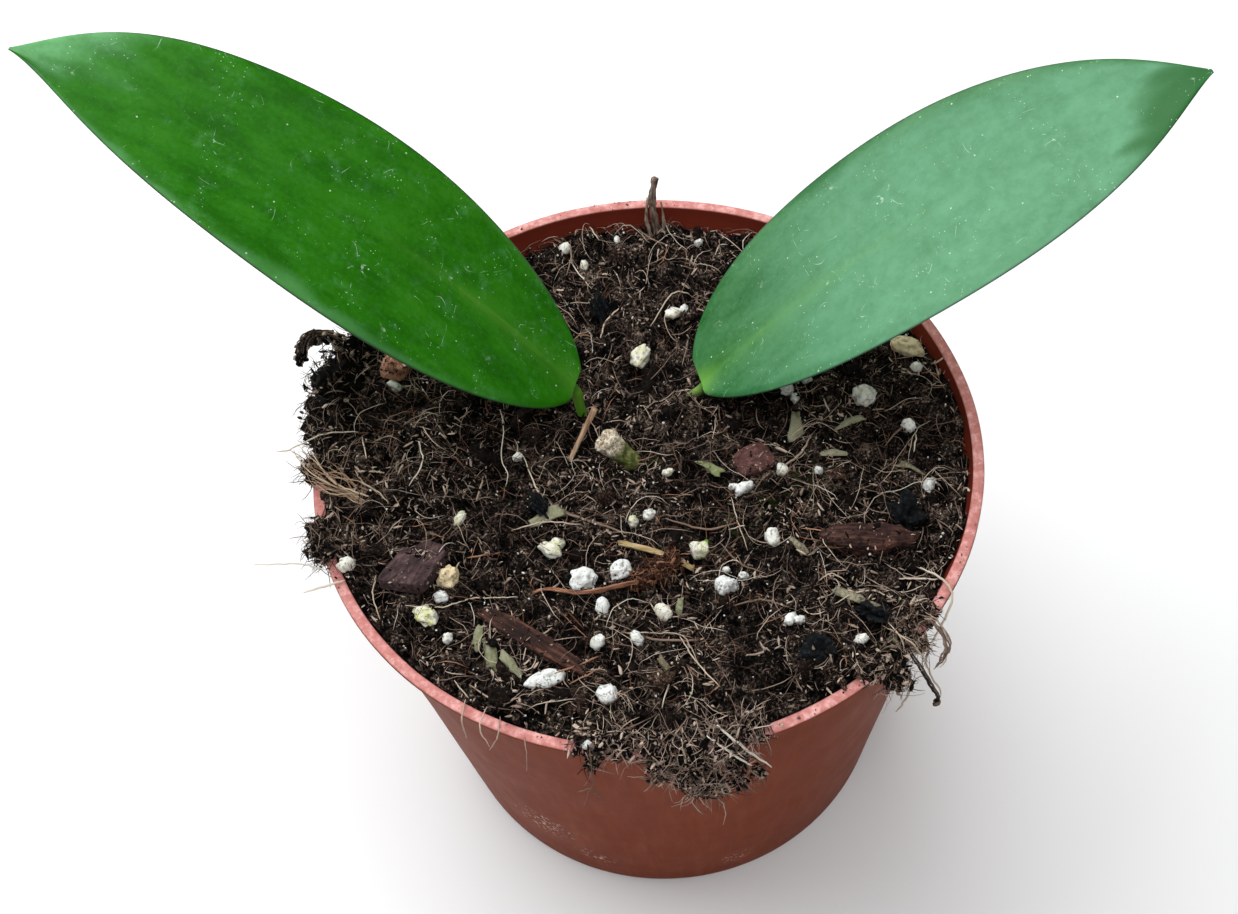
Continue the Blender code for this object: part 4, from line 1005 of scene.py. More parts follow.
def make_spill(name, spill, draw, material, shreds_each, core=0.72):
    """A clump over the rim: rough dark cores under many small crumbs and shreds."""
    centres, radii = spill_places(spill)
    cores = lumps(draw, centres, radii[:, None] * core * np.array([[1.0, 1.0, 0.85]]), 3, 1.0, turned=False)
    count = len(centres) * shreds_each
    which = draw.integers(0, len(centres), count)
    toward = unit(draw.normal(size=(count, 3)) + (0, 0, 0.2))
    places = centres[which] + toward * radii[which, None] * draw.uniform(0.55, 1.08, (count, 1))
    small = (0.1 + 0.4 * draw.random(count) ** 2)[:, None] * MM
    small = small * draw.uniform(0.6, 1.2, (count, 3)) * (1.8, 0.7, 0.5)
    shreds = lumps(draw, outside_pot(places, 0.4 * MM), small, 1, 0.7)
    points = np.concatenate([outside_pot(cores[0], 0.1 * MM), shreds[0]])
    faces = np.concatenate([cores[1], shreds[1] + len(cores[0])])
    tone = np.concatenate([np.full(len(cores[0]), 0.1), np.repeat(draw.random(count) ** 1.5, len(ball(1)[0]))])
    dress(make_object(name, points, faces, material, {"tone": tone}, False), "peat_soil", "soil")


def spill_fibres(name, spill, draw, count, material, lengths=(1, 5), radii=(0.03, 0.08), curl=0.6, out=0.15,
                 reach=(0.55, 1.02)):
    """Matted fibres that wrap a clump; out sets how much they stick out of it."""
    centres, sizes = spill_places(spill)
    short, long = metres(lengths)
    which = draw.integers(0, len(centres), count)
    toward = unit(draw.normal(size=(count, 3)) + (0, 0, 0.15))
    start = centres[which] + toward * sizes[which, None] * draw.uniform(*reach, (count, 1))
    ahead = unit(unit(np.cross(toward, draw.normal(size=(count, 3)))) + out * toward)
    span = short + (long - short) * draw.random(count) ** 2
    axis = unit(draw.normal(size=(count, 3)))
    paths = outside_pot(curled(draw, start, ahead, span, curl, 5, axis, 0.05))
    radius = draw.uniform(*metres(radii), count)
    add_fibres(name, paths, radius, draw.random(count) ** 1.4, material, 3, "soil")


def rim_dirt(draw, material, count=230):
    """Crumbs that lie on the rim, most of them near the clumps and at the back."""
    angle = np.radians(draw.choice(DIRTY_RIM, count) + draw.normal(0, 7, count))
    distance = draw.uniform(MOUTH_RADIUS, RIM_RADIUS - 0.1 * MM, count)
    centres = polar(distance, angle, POT_HEIGHT + 0.12 * MM)
    half = (0.07 + 0.28 * draw.random((count, 1)) ** 3) * MM
    half = half * draw.uniform(0.5, 1.6, (count, 3)) * (1.2, 1, 0.6)
    add_lumps("rim_dirt", draw, centres, half, 1, 0.6, material, lambda: draw.random(count))


def hanging_bits(draw, material):
    """Crumbs along the arm of roots at the left, and the drop at the end of the root at the right."""
    bits = metres(BITS_MM)
    along = path_mm(ARM_MM, 26)
    places = np.concatenate([bits[:, :3], along + draw.normal(0, 0.55 * MM, along.shape)])
    half = np.concatenate([bits[:, 3], draw.uniform(0.2, 0.6, len(along)) * MM])
    half = half[:, None] * draw.uniform(0.7, 1.1, (len(half), 3))
    add_lumps("hanging_bits", draw, places, half, 2, 0.6, material, lambda: draw.random(len(half)) ** 2)


# Leaves

def leaf_frame(leaf):
    """The blade's three directions: along the midrib's chord, across it, and out of its upper face."""
    azimuth, rise, roll = (math.radians(leaf[key]) for key in ("azimuth", "rise", "roll"))
    along = np.array([math.cos(azimuth) * math.cos(rise), math.sin(azimuth) * math.cos(rise), math.sin(rise)])
    level = np.array([-math.sin(azimuth), math.cos(azimuth), 0.0])
    across = math.cos(roll) * level + math.sin(roll) * np.cross(along, level)
    return along, across, np.cross(along, across)


def half_width(leaf, side, t):
    width, base_power, tip_power = leaf["sides"][side]
    peak_at = base_power / (base_power + tip_power)
    peak = peak_at ** base_power * (1 - peak_at) ** tip_power
    narrowing = 1 - leaf["tip"] * np.exp(-(1 - t) / TIP_SPAN)
    return width * t ** base_power * (1 - t) ** tip_power / peak * narrowing * MM


def blade_points(leaf, t, share):
    """Points of the blade's upper face, as in the model, and their distance from the midrib."""
    along, across, out = leaf_frame(leaf)
    width = np.where(share > 0, half_width(leaf, 0, t), half_width(leaf, 1, t))
    sway = (4 * leaf["sway"] * t * (1 - t) + leaf["tip_sway"] * t ** 5) * MM
    wave = EDGE_WAVE * np.sin(9 * t + 2 * share) * np.abs(share) ** 3 * np.sin(np.pi * t)
    lift = 4 * leaf["arch"] * MM * t * (1 - t) + TROUGH * width * share ** 2 + wave
    middle = np.array(leaf["base"]) * MM + np.outer(t, along) * leaf["length"] * MM
    return middle + np.outer(sway + width * share, across) + np.outer(lift, out), width * share


def blade_mesh(leaf):
    """A closed blade: rows from base to tip, each a loop over the upper face and back under it."""
    start, end = BLADE_ENDS
    rows = start + (end - start) * (0.5 - 0.5 * np.cos(np.pi * np.linspace(0, 1, BLADE_ROWS)))
    half = np.sin(np.pi / 2 * np.linspace(-1, 1, BLADE_COLUMNS + 1))
    loop = np.concatenate([half, half[-2:0:-1]])
    upper = np.concatenate([np.ones(BLADE_COLUMNS + 1), -np.ones(BLADE_COLUMNS - 1)])
    upper[[0, BLADE_COLUMNS]] = 0.0
    t = np.repeat(rows, len(loop))
    share = np.tile(loop, len(rows))
    face = np.tile(upper, len(rows))
    points, across = blade_points(leaf, t, share)
    sheet = np.stack([t * leaf["length"] * MM, across, 0 * t], 1)
    thin = np.clip((1 - t) / 0.04, 0.2, 1)
    thick = 0.5 * BLADE_THICKNESS * np.sqrt(1 - np.abs(share) ** 6) * thin
    uneven = 0.22 * smooth_noise(sheet, 12, leaf["seed"]) + 0.05 * smooth_noise(sheet, 4, leaf["seed"] + 1)
    furrow = 0.12 * np.exp(-(across / (0.9 * MM)) ** 2) * (1 - smooth_step(0.3, 0.75, t))
    fold = smooth_step(0.86, 1.0, np.abs(share)) * np.sin(np.pi * np.clip(1.06 * t, 0, 1))
    shift = -0.5 * BLADE_THICKNESS + face * thick - MARGIN_FOLD * fold
    shift += (uneven * (1 - share ** 8) - np.where(face > 0, furrow, 0)) * MM
    points = points + np.outer(shift, leaf_frame(leaf)[2])
    faces = tube_faces(np.arange(len(points)).reshape(-1, len(loop)))
    values = blade_values(leaf, t, share, across, sheet)
    return points, faces, {"sheet": sheet, "under": (face < -0.5).astype(float), **values}


def blade_values(leaf, t, share, across, sheet):
    """Where the midrib glows; painted sheen over the blade and one margin; painted shade at the tip and the
    rim.
    """
    core = np.exp(-(across / (0.35 * MM)) ** 2) * (1 - smooth_step(0.2, 0.75, t))
    halo = np.exp(-(across / ((0.9 + 1.8 * (1 - t) ** 2) * MM)) ** 2) * (1 - smooth_step(0.0, 0.55, t))
    base = 1 - smooth_step(0.0, 0.07, np.hypot(t, across / (60 * MM)))
    glow = np.clip(leaf["rib"] * (0.22 * core + 0.4 * halo) + leaf["glow"] * base, 0, 1)
    sheen_start, sheen_end, tip_shade_depth, side_limit = leaf["sheen"]
    edges = np.where(share > 0, smooth_step(1.0, side_limit, share), 1.0)
    uneven = 0.05 * smooth_noise(sheet * (0.4, 1, 1), 3, leaf["seed"] + 2)
    # painted sheen over the blade
    painted_sheen = smooth_step(sheen_start, sheen_end, t - 0.06 * share + uneven) * edges * leaf["painted_sheen"]
    # painted shade at the tip, which also clears the painted sheen there
    tip_shade = tip_shade_depth * smooth_step(0.86, 0.93, t - 0.07 * share + 0.7 * uneven)
    # painted sheen along one margin
    margin_sheen = smooth_step(0.86, 0.97, share + 2 * uneven) * smooth_step(0.0, 0.5, t) * leaf["margin_sheen"]
    # painted shade along the rim of the blade
    rim = smooth_step(0.975, 0.995, np.abs(share)) * 0.8
    return {"glow": glow, "painted_sheen": painted_sheen * (1 - tip_shade), "tip_shade": tip_shade, "margin_sheen": margin_sheen, "rim": rim}


def make_leaf(name):
    """The blade joined with its petiole, which runs on below it as the midrib."""
    leaf = LEAVES[name]
    material = leaf_look(name + "_skin", leaf["specular"], **leaf["tints"])
    points, faces, values = blade_mesh(leaf)
    blade = make_object(name + "_blade", points, faces, material)
    set_outward(blade)
    shares = np.linspace(0, 1, 28)
    thinning = PETIOLE_RADIUS + (RIB_END_RADIUS - PETIOLE_RADIUS) * shares ** 0.6
    middle = blade_points(leaf, np.maximum(RIB_REACH * shares, 1e-4), 0 * shares)[0]
    rib = middle - np.outer(RIB_SINK * thinning + BLADE_THICKNESS / 3, leaf_frame(leaf)[2])
    petiole = smooth_path([*(np.float32(leaf["petiole"]) * np.float32(MM)), rib[0]], 8)[:-1]
    radii = np.concatenate([np.full(len(petiole), PETIOLE_RADIUS), thinning])
    stalk_mesh = tubes(np.concatenate([petiole, rib])[None], radii[None], STALK_SIDES)
    stalk = make_object(name + "_stalk", *stalk_mesh, material)
    combine(blade, "UNION", object=stalk)
    bpy.data.objects.remove(stalk, do_unlink=True)
    copy_values(blade.data, points, values)
    blade.data.shade_smooth()
    dress(blade, name + "_green", name)


def copy_values(mesh, points, values):
    """Gives each vertex the values of the nearest point; one that lies off all of them is stalk."""
    tree = kdtree.KDTree(len(points))
    for number, point in enumerate(points):
        tree.insert(point, number)
    tree.balance()
    _, nearest, away = zip(*[tree.find(vert.co) for vert in mesh.vertices])
    for key, numbers in values.items():
        put_values(mesh, key, numbers[list(nearest)])
    put_values(mesh, "stalk", smooth_step(0.05 * MM, 1.0 * MM, np.array(away)))


# Old stem

def make_stem():
    """The stem with its swollen, ringed, pale cut end."""
    path = path_mm(STEM_PATH_MM, 14)
    ahead = unit(path[-1] - path[-2])
    length = np.concatenate([[0], np.cumsum(np.linalg.norm(np.diff(path, axis=0), axis=1))])
    from_end = length[-1] - length
    swell = np.clip(1 - from_end / (3.4 * MM), 0, 1)
    radii = STEM_RADIUS + (CALLUS_RADIUS - STEM_RADIUS) * np.sin(np.pi / 2 * swell)
    inward = np.linspace(0.96, 0.05, CUT_RINGS)
    bulge = (0.22 + 0.16 * np.cos(5 * np.pi * inward) - 0.25 * inward ** 6) * MM
    path = np.concatenate([path, path[-1] + np.outer(bulge, ahead)])
    radii = np.concatenate([radii, radii[-1] * inward])
    along = unit(np.gradient(path, axis=0))
    along[-CUT_RINGS - 1:] = ahead
    side = unit(np.cross(along, (0.0, 0.0, 1.0) + 0.2 * along))
    side[np.linalg.norm(np.cross(along, (0.0, 0.0, 1.0)), axis=1) < 0.05] = (1.0, 0.0, 0.0)
    rings = path[:, None] + radii[:, None, None] * rings_of(side, np.cross(side, along), STEM_SIDES)
    points = rings.reshape(-1, 3)
    rough = smooth_noise(points, 1.1, 8) * 0.3 + smooth_noise(points, 0.45, 9) * 0.14
    axis = np.repeat(path, STEM_SIDES, 0)
    points = points + (unit(points - axis) + 0.5 * ahead) * rough[:, None] * MM
    cut = 1 - smooth_step(1.6 * MM, 3.4 * MM, np.concatenate([from_end, np.zeros(CUT_RINGS)]))
    ring = np.concatenate([np.full(len(from_end), 0.5), 0.5 - 0.5 * np.cos(5 * np.pi * inward)])
    values = {"cut": np.repeat(cut, STEM_SIDES), "ring": np.repeat(ring, STEM_SIDES)}
    faces = tube_faces(np.arange(len(points)).reshape(-1, STEM_SIDES))
    stem = make_object("old_stem", points, faces, stem_look(), values)
    set_outward(stem)
    dress(stem, "stem_green", "stem")


# Chips, grains and straws in the soil

def soil_place(x, y, lift, turn, tilt_along=0.0, tilt_across=0.0):
    """Where a piece lies in the soil, as its turn and its middle; x, y and lift are in millimetres."""
    z = ground(np.array([x * MM]), np.array([y * MM]))[0] + lift * MM
    turned = Matrix.Rotation(math.radians(turn), 4, "Z")
    tilt = Matrix.Rotation(math.radians(tilt_along), 4, "Y")
    tilt = tilt @ Matrix.Rotation(math.radians(tilt_across), 4, "X")
    matrix = np.array(Matrix.Translation((x * MM, y * MM, z)) @ turned @ tilt)
    return matrix[:3, :3].T, matrix[:3, 3]


def make_chip(name, seed):
    """A broken chip: a rounded uneven slab with layers along its grain. Gives places on its top."""
    x, y, lift, *size, turn, tilt_along, tilt_across, finish, rough, layers, boxy, narrow = CHIPS[name]
    draw = np.random.default_rng(seed)
    base, faces = ball(5)
    squared = base / np.sum(np.abs(base) ** boxy, axis=1, keepdims=True) ** (1 / boxy)
    a, b, c = squared.T
    local = squared.copy()
    local[:, 0] *= 1 + draw.uniform(-0.15, 0.15) * b + draw.uniform(-0.1, 0.1) * c
    local[:, 1] *= (1 + draw.uniform(-0.15, 0.15) * a) * (1 - narrow * np.abs(a) ** 2.5)
    local[:, 2] *= (1 + draw.uniform(-0.2, 0.2) * a) * (1 - 0.7 * narrow * np.abs(a) ** 2)
    local *= np.array(size) / 2 * 0.94 * MM
    relief = rough * (smooth_noise(local, 2.6, seed) + 0.5 * smooth_noise(local, 0.9, seed + 1))
    relief += layers * (0.5 - np.abs(smooth_noise(local * (0.3, 1.0, 1.4), 0.55, seed + 2)))
    local += unit(local / (np.array(size) ** 2)) * relief[:, None] * MM
    turned, middle = soil_place(x, y, lift, turn, tilt_along, tilt_across)
    points = local @ turned + middle
    chip = make_object(name + "_chip", points, faces, wood_look(finish), {"grained": local})
    dress(chip, finish, name)
    outward = unit(local / (np.array(size) ** 2)) @ turned
    tops = points[outward[:, 2] > 0.35]
    return tops[draw.integers(0, len(tops), SETTLED_EACH)]


def make_grain(name, seed, material):
    """A large grain: the model's lump with a few pits and faint foam. The flake is a pointed bean."""
    x, y, lift, *size, turn, finish, tone, pits = GRAINS[name]
    lumpy, pointed, rough = (0.1, 0.6, 0.06) if name == "shell_flake" else (0.28, 0.0, 0.12)
    old = random.Random(seed)
    offset = Vector((old.uniform(0, 50), old.uniform(0, 50), old.uniform(0, 50)))
    base, faces = ball(4)
    swell = [1.0 + lumpy * noise.noise(Vector(place) * 1.7 + offset) for place in base]
    draw = np.random.default_rng(seed)
    holes = unit(draw.normal(size=(pits, 3)) + (0, 0, 0.5))
    near = np.linalg.norm(base[:, None] - holes[None], axis=2) / draw.uniform(0.1, 0.26, pits)
    pit = np.exp(-near ** 2).max(axis=1)
    points = base * np.array(swell)[:, None] * (np.array(size) / 2 * MM)
    points[:, 1:] *= 1 - pointed * np.clip(-base[:, :1], 0, 1) ** 1.5
    relief = rough * smooth_noise(points, 1.4, seed + 1) + 0.04 * smooth_noise(points, 0.5, seed + 2)
    points = points + base * (relief * MM - 0.28 * MM * pit)[:, None]
    turned, middle = soil_place(x, y, lift, turn)
    values = {"tone": np.full(len(points), tone), "pit": pit}
    dress(make_object(name + "_grain", points @ turned + middle, faces, material, values), finish, name)


def make_straw(name):
    """A straw, stick, root or twig along the model's path, with a fibrous skin."""
    finish, ends, rough, branches = STRAWS[name]
    vertices, faces, skins = [], [], []
    for places, radius in branches:
        path = path_mm(places, 16)
        points, walls = tubes(path[None], (radius * MM * np.linspace(*ends, len(path)))[None], STALK_SIDES)
        axis = np.repeat(path, STALK_SIDES, 0)
        out = points - axis
        steps = np.linalg.norm(np.diff(path, axis=0), axis=1)
        reach = np.repeat(np.concatenate([[0.0], np.cumsum(steps)]), STALK_SIDES)
        skin = 2.0 * out + np.outer(reach, (1.0, 0.0, 0.0))
        relief = rough * smooth_noise(points, 0.9, 12) + rough * smooth_noise(skin * (0.3, 1, 1), 0.6, 13)
        faces += [[corner + sum(map(len, vertices)) for corner in face] for face in walls]
        vertices.append(axis + out * (1 + relief[:, None] * 1.5))
        skins.append(skin)
    values = {"grained": np.concatenate(skins)}
    strand = make_object(name + "_strand", np.concatenate(vertices), faces, wood_look(finish), values)
    dress(strand, finish, name)


def make_pieces(crumbs):
    places = np.concatenate([make_chip(name, seed) for seed, name in enumerate(CHIPS, CHIP_SEED)])
    draw = np.random.default_rng(SETTLED_SEED)
    half = (0.07 + 0.25 * draw.random((len(places), 1)) ** 2) * MM * draw.uniform(0.6, 1.3, (len(places), 3))
    add_lumps("settled_crumbs", draw, places, half * (1.8, 0.7, 0.6), 1, 0.7, crumbs,
              lambda: draw.random(len(places)) ** 1.6)
    mineral = perlite_look("perlite_grains", (0.15, (228, 230, 226)), (0.6, (224, 218, 192)),
                           (1.1, (198, 208, 132)))
    brown = perlite_look("tan_grains", (0.15, (226, 208, 168)), (0.6, (196, 158, 118)), (1.1, (150, 110, 80)))
    for seed, name in enumerate(GRAINS, GRAIN_SEED):
        make_grain(name, seed, brown if name in ("husk", "grain_tan") else mineral)
    for name in STRAWS:
        make_straw(name)


# Pot

def beside(radius, height, *steps):
    """Places of the pot's section near one of its corners, each so many millimetres out and up from it."""
    return [(radius + out * MM, height + up * MM) for out, up in steps]


def pot_profile():
    """Radius and height along the pot's section: inside, over the rim, down the outside, under the foot."""
    flare_top = POT_HEIGHT - LIP_DEPTH
    flare_foot = POT_HEIGHT - FLARE_DEPTH
    inside = [(radius, FLOOR_THICKNESS) for radius in (0.0, 0.6 * BASE_RADIUS, BASE_RADIUS - WALL)]
    for share in np.linspace(0.05, 1, 10):
        inside.append((BASE_RADIUS + (BODY_TOP_RADIUS - BASE_RADIUS) * share - WALL,
                       FLOOR_THICKNESS + (flare_foot - FLOOR_THICKNESS) * share))
    rim = beside(MOUTH_RADIUS, flare_foot, (-1.1, 3.2)) + beside(MOUTH_RADIUS, flare_top, (0, 0))
    rim += beside(MOUTH_RADIUS, POT_HEIGHT, (0, -0.3), (0.09, -0.09), (0.3, 0), (0.9, 0.03))
    rim += beside(RIM_RADIUS, POT_HEIGHT, (-0.3, 0), (-0.08, -0.08), (0, -0.3))
    rim += beside(RIM_RADIUS, flare_top, (0, 0.15), (-0.1, 0))
    rim += beside(FLARE_RADIUS, flare_top, (0.15, 0), (0, -0.2))
    outside = [(FLARE_RADIUS + (BODY_TOP_RADIUS - FLARE_RADIUS) * share ** 0.85,
                flare_top + (flare_foot - flare_top) * share) for share in np.linspace(0.12, 1, 8)]
    outside += [(BODY_TOP_RADIUS + (BASE_RADIUS - BODY_TOP_RADIUS) * share,
                 flare_foot + (1.0 * MM - flare_foot) * share) for share in np.linspace(0.03, 1, 34)]
    foot = beside(BASE_RADIUS, 0.0, (-0.12, 0.5), (-0.4, 0.15), (-1.0, 0))
    foot += beside(GROOVE_OUTER, 0.0, (1.0, 0), (0.4, 0.15)) + beside(GROOVE_OUTER, GROOVE_DEPTH, (0, 0))
    foot += beside(GROOVE_INNER, GROOVE_DEPTH, (0, 0)) + beside(GROOVE_INNER, 0.0, (-0.4, 0.15), (-1.0, 0))
    return np.array(inside + rim + outside + foot + [(0.0, 0.0)])


def make_pot():
    profile = pot_profile()
    body = profile[1:-1]
    turn = 2 * np.pi * np.arange(POT_STEPS) / POT_STEPS
    ring = np.stack([np.cos(turn), np.sin(turn)], 1)
    wall = np.concatenate([body[:, None, :1] * ring[None], np.repeat(body[:, None, 1:], POT_STEPS, 1)], 2)
    points = np.concatenate([wall.reshape(-1, 3), [[0.0, 0.0, profile[0, 1]], [0.0, 0.0, profile[-1, 1]]]])
    index = np.arange(len(body) * POT_STEPS).reshape(-1, POT_STEPS)
    faces = wall_faces(index)
    faces += [[index.size, int(a), int(b)] for a, b in zip(index[0], np.roll(index[0], -1))]
    faces += [[index.size + 1, int(b), int(a)] for a, b in zip(index[-1], np.roll(index[-1], -1))]
    pot = make_object("pot_shell", points, faces, pot_look())
    set_outward(pot)
    cut_drains(pot)
    finish_pot(pot.data)
    dress(pot, "pot_plastic", "pot")


def cut_drains(pot):
    """Cuts the drain holes and the channels under the foot."""
    cutters = bpy.data.collections.new("drains")
    bpy.context.scene.collection.children.link(cutters)
    for number in range(DRAIN_HOLES):
        bm = bmesh.new()
        bmesh.ops.create_cone(bm, cap_ends=True, segments=32, radius1=DRAIN_RADIUS, radius2=DRAIN_RADIUS,
                              depth=4 * FLOOR_THICKNESS)
        turn = 2 * math.pi * number / DRAIN_HOLES
        place_cutter(bm, (GROOVE_INNER + GROOVE_OUTER) / 2, turn, 0.0, 0.0, cutters)
    for number in range(DRAIN_CHANNELS):
        reach = BASE_RADIUS + 2 * MM - GROOVE_OUTER
        bm = bmesh.new()
        bmesh.ops.create_cube(bm, size=1.0)
        bmesh.ops.scale(bm, verts=bm.verts, vec=(reach, CHANNEL_WIDTH, 2 * GROOVE_DEPTH))
        turn = 2 * math.pi * (number + 0.5) / DRAIN_CHANNELS
        place_cutter(bm, GROOVE_OUTER + reach / 2, turn, -0.1 * MM, turn, cutters)
    combine(pot, "DIFFERENCE", operand_type="COLLECTION", collection=cutters)
    for item in list(cutters.objects):
        bpy.data.objects.remove(item, do_unlink=True)
    bpy.data.collections.remove(cutters)


def place_cutter(bm, distance, turn, height, heading, collection):
    mesh = bpy.data.meshes.new("drain")
    bm.to_mesh(mesh)
    bm.free()
    item = bpy.data.objects.new("drain", mesh)
    item.location = (distance * math.cos(turn), distance * math.sin(turn), height)
    item.rotation_euler = (0.0, 0.0, heading)
    collection.objects.link(item)


def finish_pot(mesh):
    """Makes the wall slightly uneven; marks the rim's top for its painted highlight, the inside and the
    scuffed places.
    """
    points = np.array([vert.co for vert in mesh.vertices])
    away = np.hypot(points[:, 0], points[:, 1])
    height = points[:, 2]
    depth = np.interp(height, *OUTER_WALL) - away
    inner = smooth_step(0.35 * MM, 0.55 * MM, depth) * (height > 0.5 * FLOOR_THICKNESS)
    # the rim's top, painted lighter as a highlight
    rim_highlight = smooth_step(POT_HEIGHT - 0.22 * MM, POT_HEIGHT - 0.02 * MM, height)
    put_values(mesh, "inside", inner * (1 - rim_highlight))
    put_values(mesh, "rim_highlight", rim_highlight)
    scuff = np.zeros(len(points))
    for *place, radius in SCUFFS_MM:
        gap = np.linalg.norm(points / MM - place, axis=1) / radius
        scuff = np.maximum(scuff, 1 - smooth_step(0.3, 1.0, gap))
    put_values(mesh, "scuff", scuff)
    wave = smooth_noise(points, 22, 3) + 0.35 * smooth_noise(points, 8, 4)
    hold = smooth_step(4 * MM, 20 * MM, height) * POT_WAVE * wave
    moved = points.copy()
    moved[:, :2] += points[:, :2] / np.maximum(away, 1e-6)[:, None] * hold[:, None]
    mesh.vertices.foreach_set("co", moved.astype(np.float32).ravel())
    mesh.update()
    mesh.shade_smooth()
    mesh.set_sharp_from_angle(angle=math.radians(40))


# Camera, light and floor

CAMERA_RISE = 55.44                 # degrees over the horizon
CAMERA_ROLL = -4.92
CAMERA_DISTANCE = 282.6 * MM        # from the middle of the rim
PHOTO_WIDTH = 1238
FOCAL_PIXELS = 1800
# Where the camera's axis meets the photograph, right of and below its middle
SHIFT_PIXELS = (27.4, -7.6)
SENSOR = 36.0
AIM = Vector((0.0, 0.0, 50 * MM))
FLOOR_REACH = 3.0
FLOOR_GREY = 0.86
SKY = (0.95, 0.97, 1.0, 1.0)
SKY_STRENGTH = 0.17


def make_camera():
    rise, roll = math.radians(CAMERA_RISE), math.radians(CAMERA_ROLL)
    back = Vector((0.0, -math.cos(rise), math.sin(rise)))
    right = Vector((1.0, 0.0, 0.0))
    up = back.cross(right)
    turned_right = math.cos(roll) * right + math.sin(roll) * up
    turned_up = -math.sin(roll) * right + math.cos(roll) * up
    data = bpy.data.cameras.new("camera")
    data.sensor_width = SENSOR
    data.lens = FOCAL_PIXELS / PHOTO_WIDTH * SENSOR
    data.shift_x = -SHIFT_PIXELS[0] / PHOTO_WIDTH
    data.shift_y = SHIFT_PIXELS[1] / PHOTO_WIDTH
    data.clip_start = 0.01
    camera = new_object("camera", data)
    axes = Matrix((turned_right, turned_up, back)).transposed()
    place = Vector((0, 0, POT_HEIGHT)) + back * CAMERA_DISTANCE
    camera.matrix_world = Matrix.Translation(place) @ axes.to_4x4()
    bpy.context.scene.camera = camera


def soft_light(name, direction, distance, size, power, tint=(1.0, 1.0, 1.0)):
    data = bpy.data.lights.new(name, "AREA")
    data.shape = "RECTANGLE"
    data.size, data.size_y = size
    data.energy = power
    data.color = tint
    light = new_object(name, data)
    toward = Vector(direction).normalized()
    light.location = AIM + toward * distance
    light.rotation_mode = "QUATERNION"
    light.rotation_quaternion = (-toward).to_track_quat("-Z", "Y")


def make_studio():
    mesh = bpy.data.meshes.new("floor")
    corners = [(-FLOOR_REACH, -FLOOR_REACH, 0), (FLOOR_REACH, -FLOOR_REACH, 0), (FLOOR_REACH, FLOOR_REACH, 0),
               (-FLOOR_REACH, FLOOR_REACH, 0)]
    mesh.from_pydata(corners, [], [(0, 1, 2, 3)])
    look = Look("pale_floor", 0.9, 0.2)
    look.inputs["Base Color"].default_value = (FLOOR_GREY, FLOOR_GREY, FLOOR_GREY, 1.0)
    mesh.materials.append(look.material)
    floor = new_object("floor", mesh)
    world = bpy.data.worlds.new("studio")
    world.use_nodes = True
    sky = world.node_tree.nodes["Background"]
    sky.inputs["Color"].default_value = SKY
    sky.inputs["Strength"].default_value = SKY_STRENGTH
    bpy.context.scene.world = world
    soft_light("sky_left", (-0.45, 0.53, 0.72), 0.9, (1.3, 1.0), 12.5, (0.97, 0.99, 1.0))
    soft_light("overhead", (0.15, -0.1, 1.0), 1.0, (0.9, 0.9), 6.5)
    soft_light("front_fill", (-0.3, -0.8, 0.55), 1.0, (0.8, 0.8), 1.6)
    bpy.context.scene.view_settings.view_transform = "Standard"


# The object

def make_soil(crumbs, clods, coal, dark, tan, pale, rust):
    """The bed, the crumbs, shreds and fibres strewn over it, and the pale grains that show in it."""
    draw = np.random.default_rng(SOIL_SEED)
    white = perlite_look("perlite", (0.15, (226, 228, 224)), (0.6, (222, 216, 194)), (1.1, (200, 208, 160)))
    make_bed(soil_look())
    scatter("soil_crumbs", draw, 150, (0.8, 1.8), (1.2, 0.9, 0.7), (-0.7, 0.4), 3, 0.8, clods, skew=2.0,
            bright=0.3)
    scatter("soil_shreds", draw, 8800, (0.12, 0.6), (1.6, 0.4, 0.28), (0.0, 1.3), 1, 0.8, crumbs)
    # perlite dust, which also stands for painted glints on the moist soil
    scatter("perlite_dust_and_glints", draw, 900, (0.06, 0.24), (1.1, 0.9, 0.8), (0.4, 1.4), 1, 0.3, white,
            "white_perlite")
    make_fibres("dark_fibres", draw, 6900, (0.8, 4.6), (0.03, 0.075), dark, skew=1.25)
    make_fibres("tan_fibres", draw, 1700, (1.5, 9), (0.035, 0.085), tan, lift=(0.3, 1.5),
                arch=(-0.1, 0.2), points=6)
    make_fibres("rust_fibres", draw, 420, (1.5, 6), (0.04, 0.1), rust, 0.2, (0.3, 1.4), (-0.1, 0.15))
    make_fibres("pale_hairs", draw, 70, (4, 11), (0.035, 0.075), pale, 0.14, (0.7, 1.6), (0.0, 0.12),
                points=12, sides=4, tail=1.0)
    hand_fibres("pale_strands", PALE_FIBRES_MM, pale, (0.08, 0.14), draw, (0.7, 1.6))
    hand_fibres("tan_strands", TAN_FIBRES_MM, tan, (0.1, 0.2), draw, (0.6, 1.4))
    hand_fibres("rust_strands", RUST_FIBRES_MM, rust, (0.07, 0.16), draw, (0.7, 1.4))
    make_shown_grains(white, draw)
    make_flakes(draw)
    x, y, radius = metres(CHARCOAL_MM).T
    centres = np.stack([x, y, surface(x, y) + 0.25 * radius], 1)
    half = radius[:, None] * np.array([[0.62, 0.5, 0.26]])
    add_lumps("charcoal", draw, centres, half, 4, 0.9, coal, 0 * radius, smooth=False)


def make_shown_grains(material, draw):
    x, y, radius, tint = np.array(SHOWN_GRAINS_MM).T
    centres = np.column_stack([x * MM, y * MM, surface(x * MM, y * MM) + 0.7 * MM])
    shares = [draw.uniform(low, high, len(x)) for low, high in ((1.0, 1.4), (0.75, 1.0), (0.65, 0.9))]
    sizes = radius[:, None] * MM * np.stack(shares, 1)
    add_lumps("small_perlite", draw, centres, sizes, 3, 0.3, material, tint, "white_perlite")


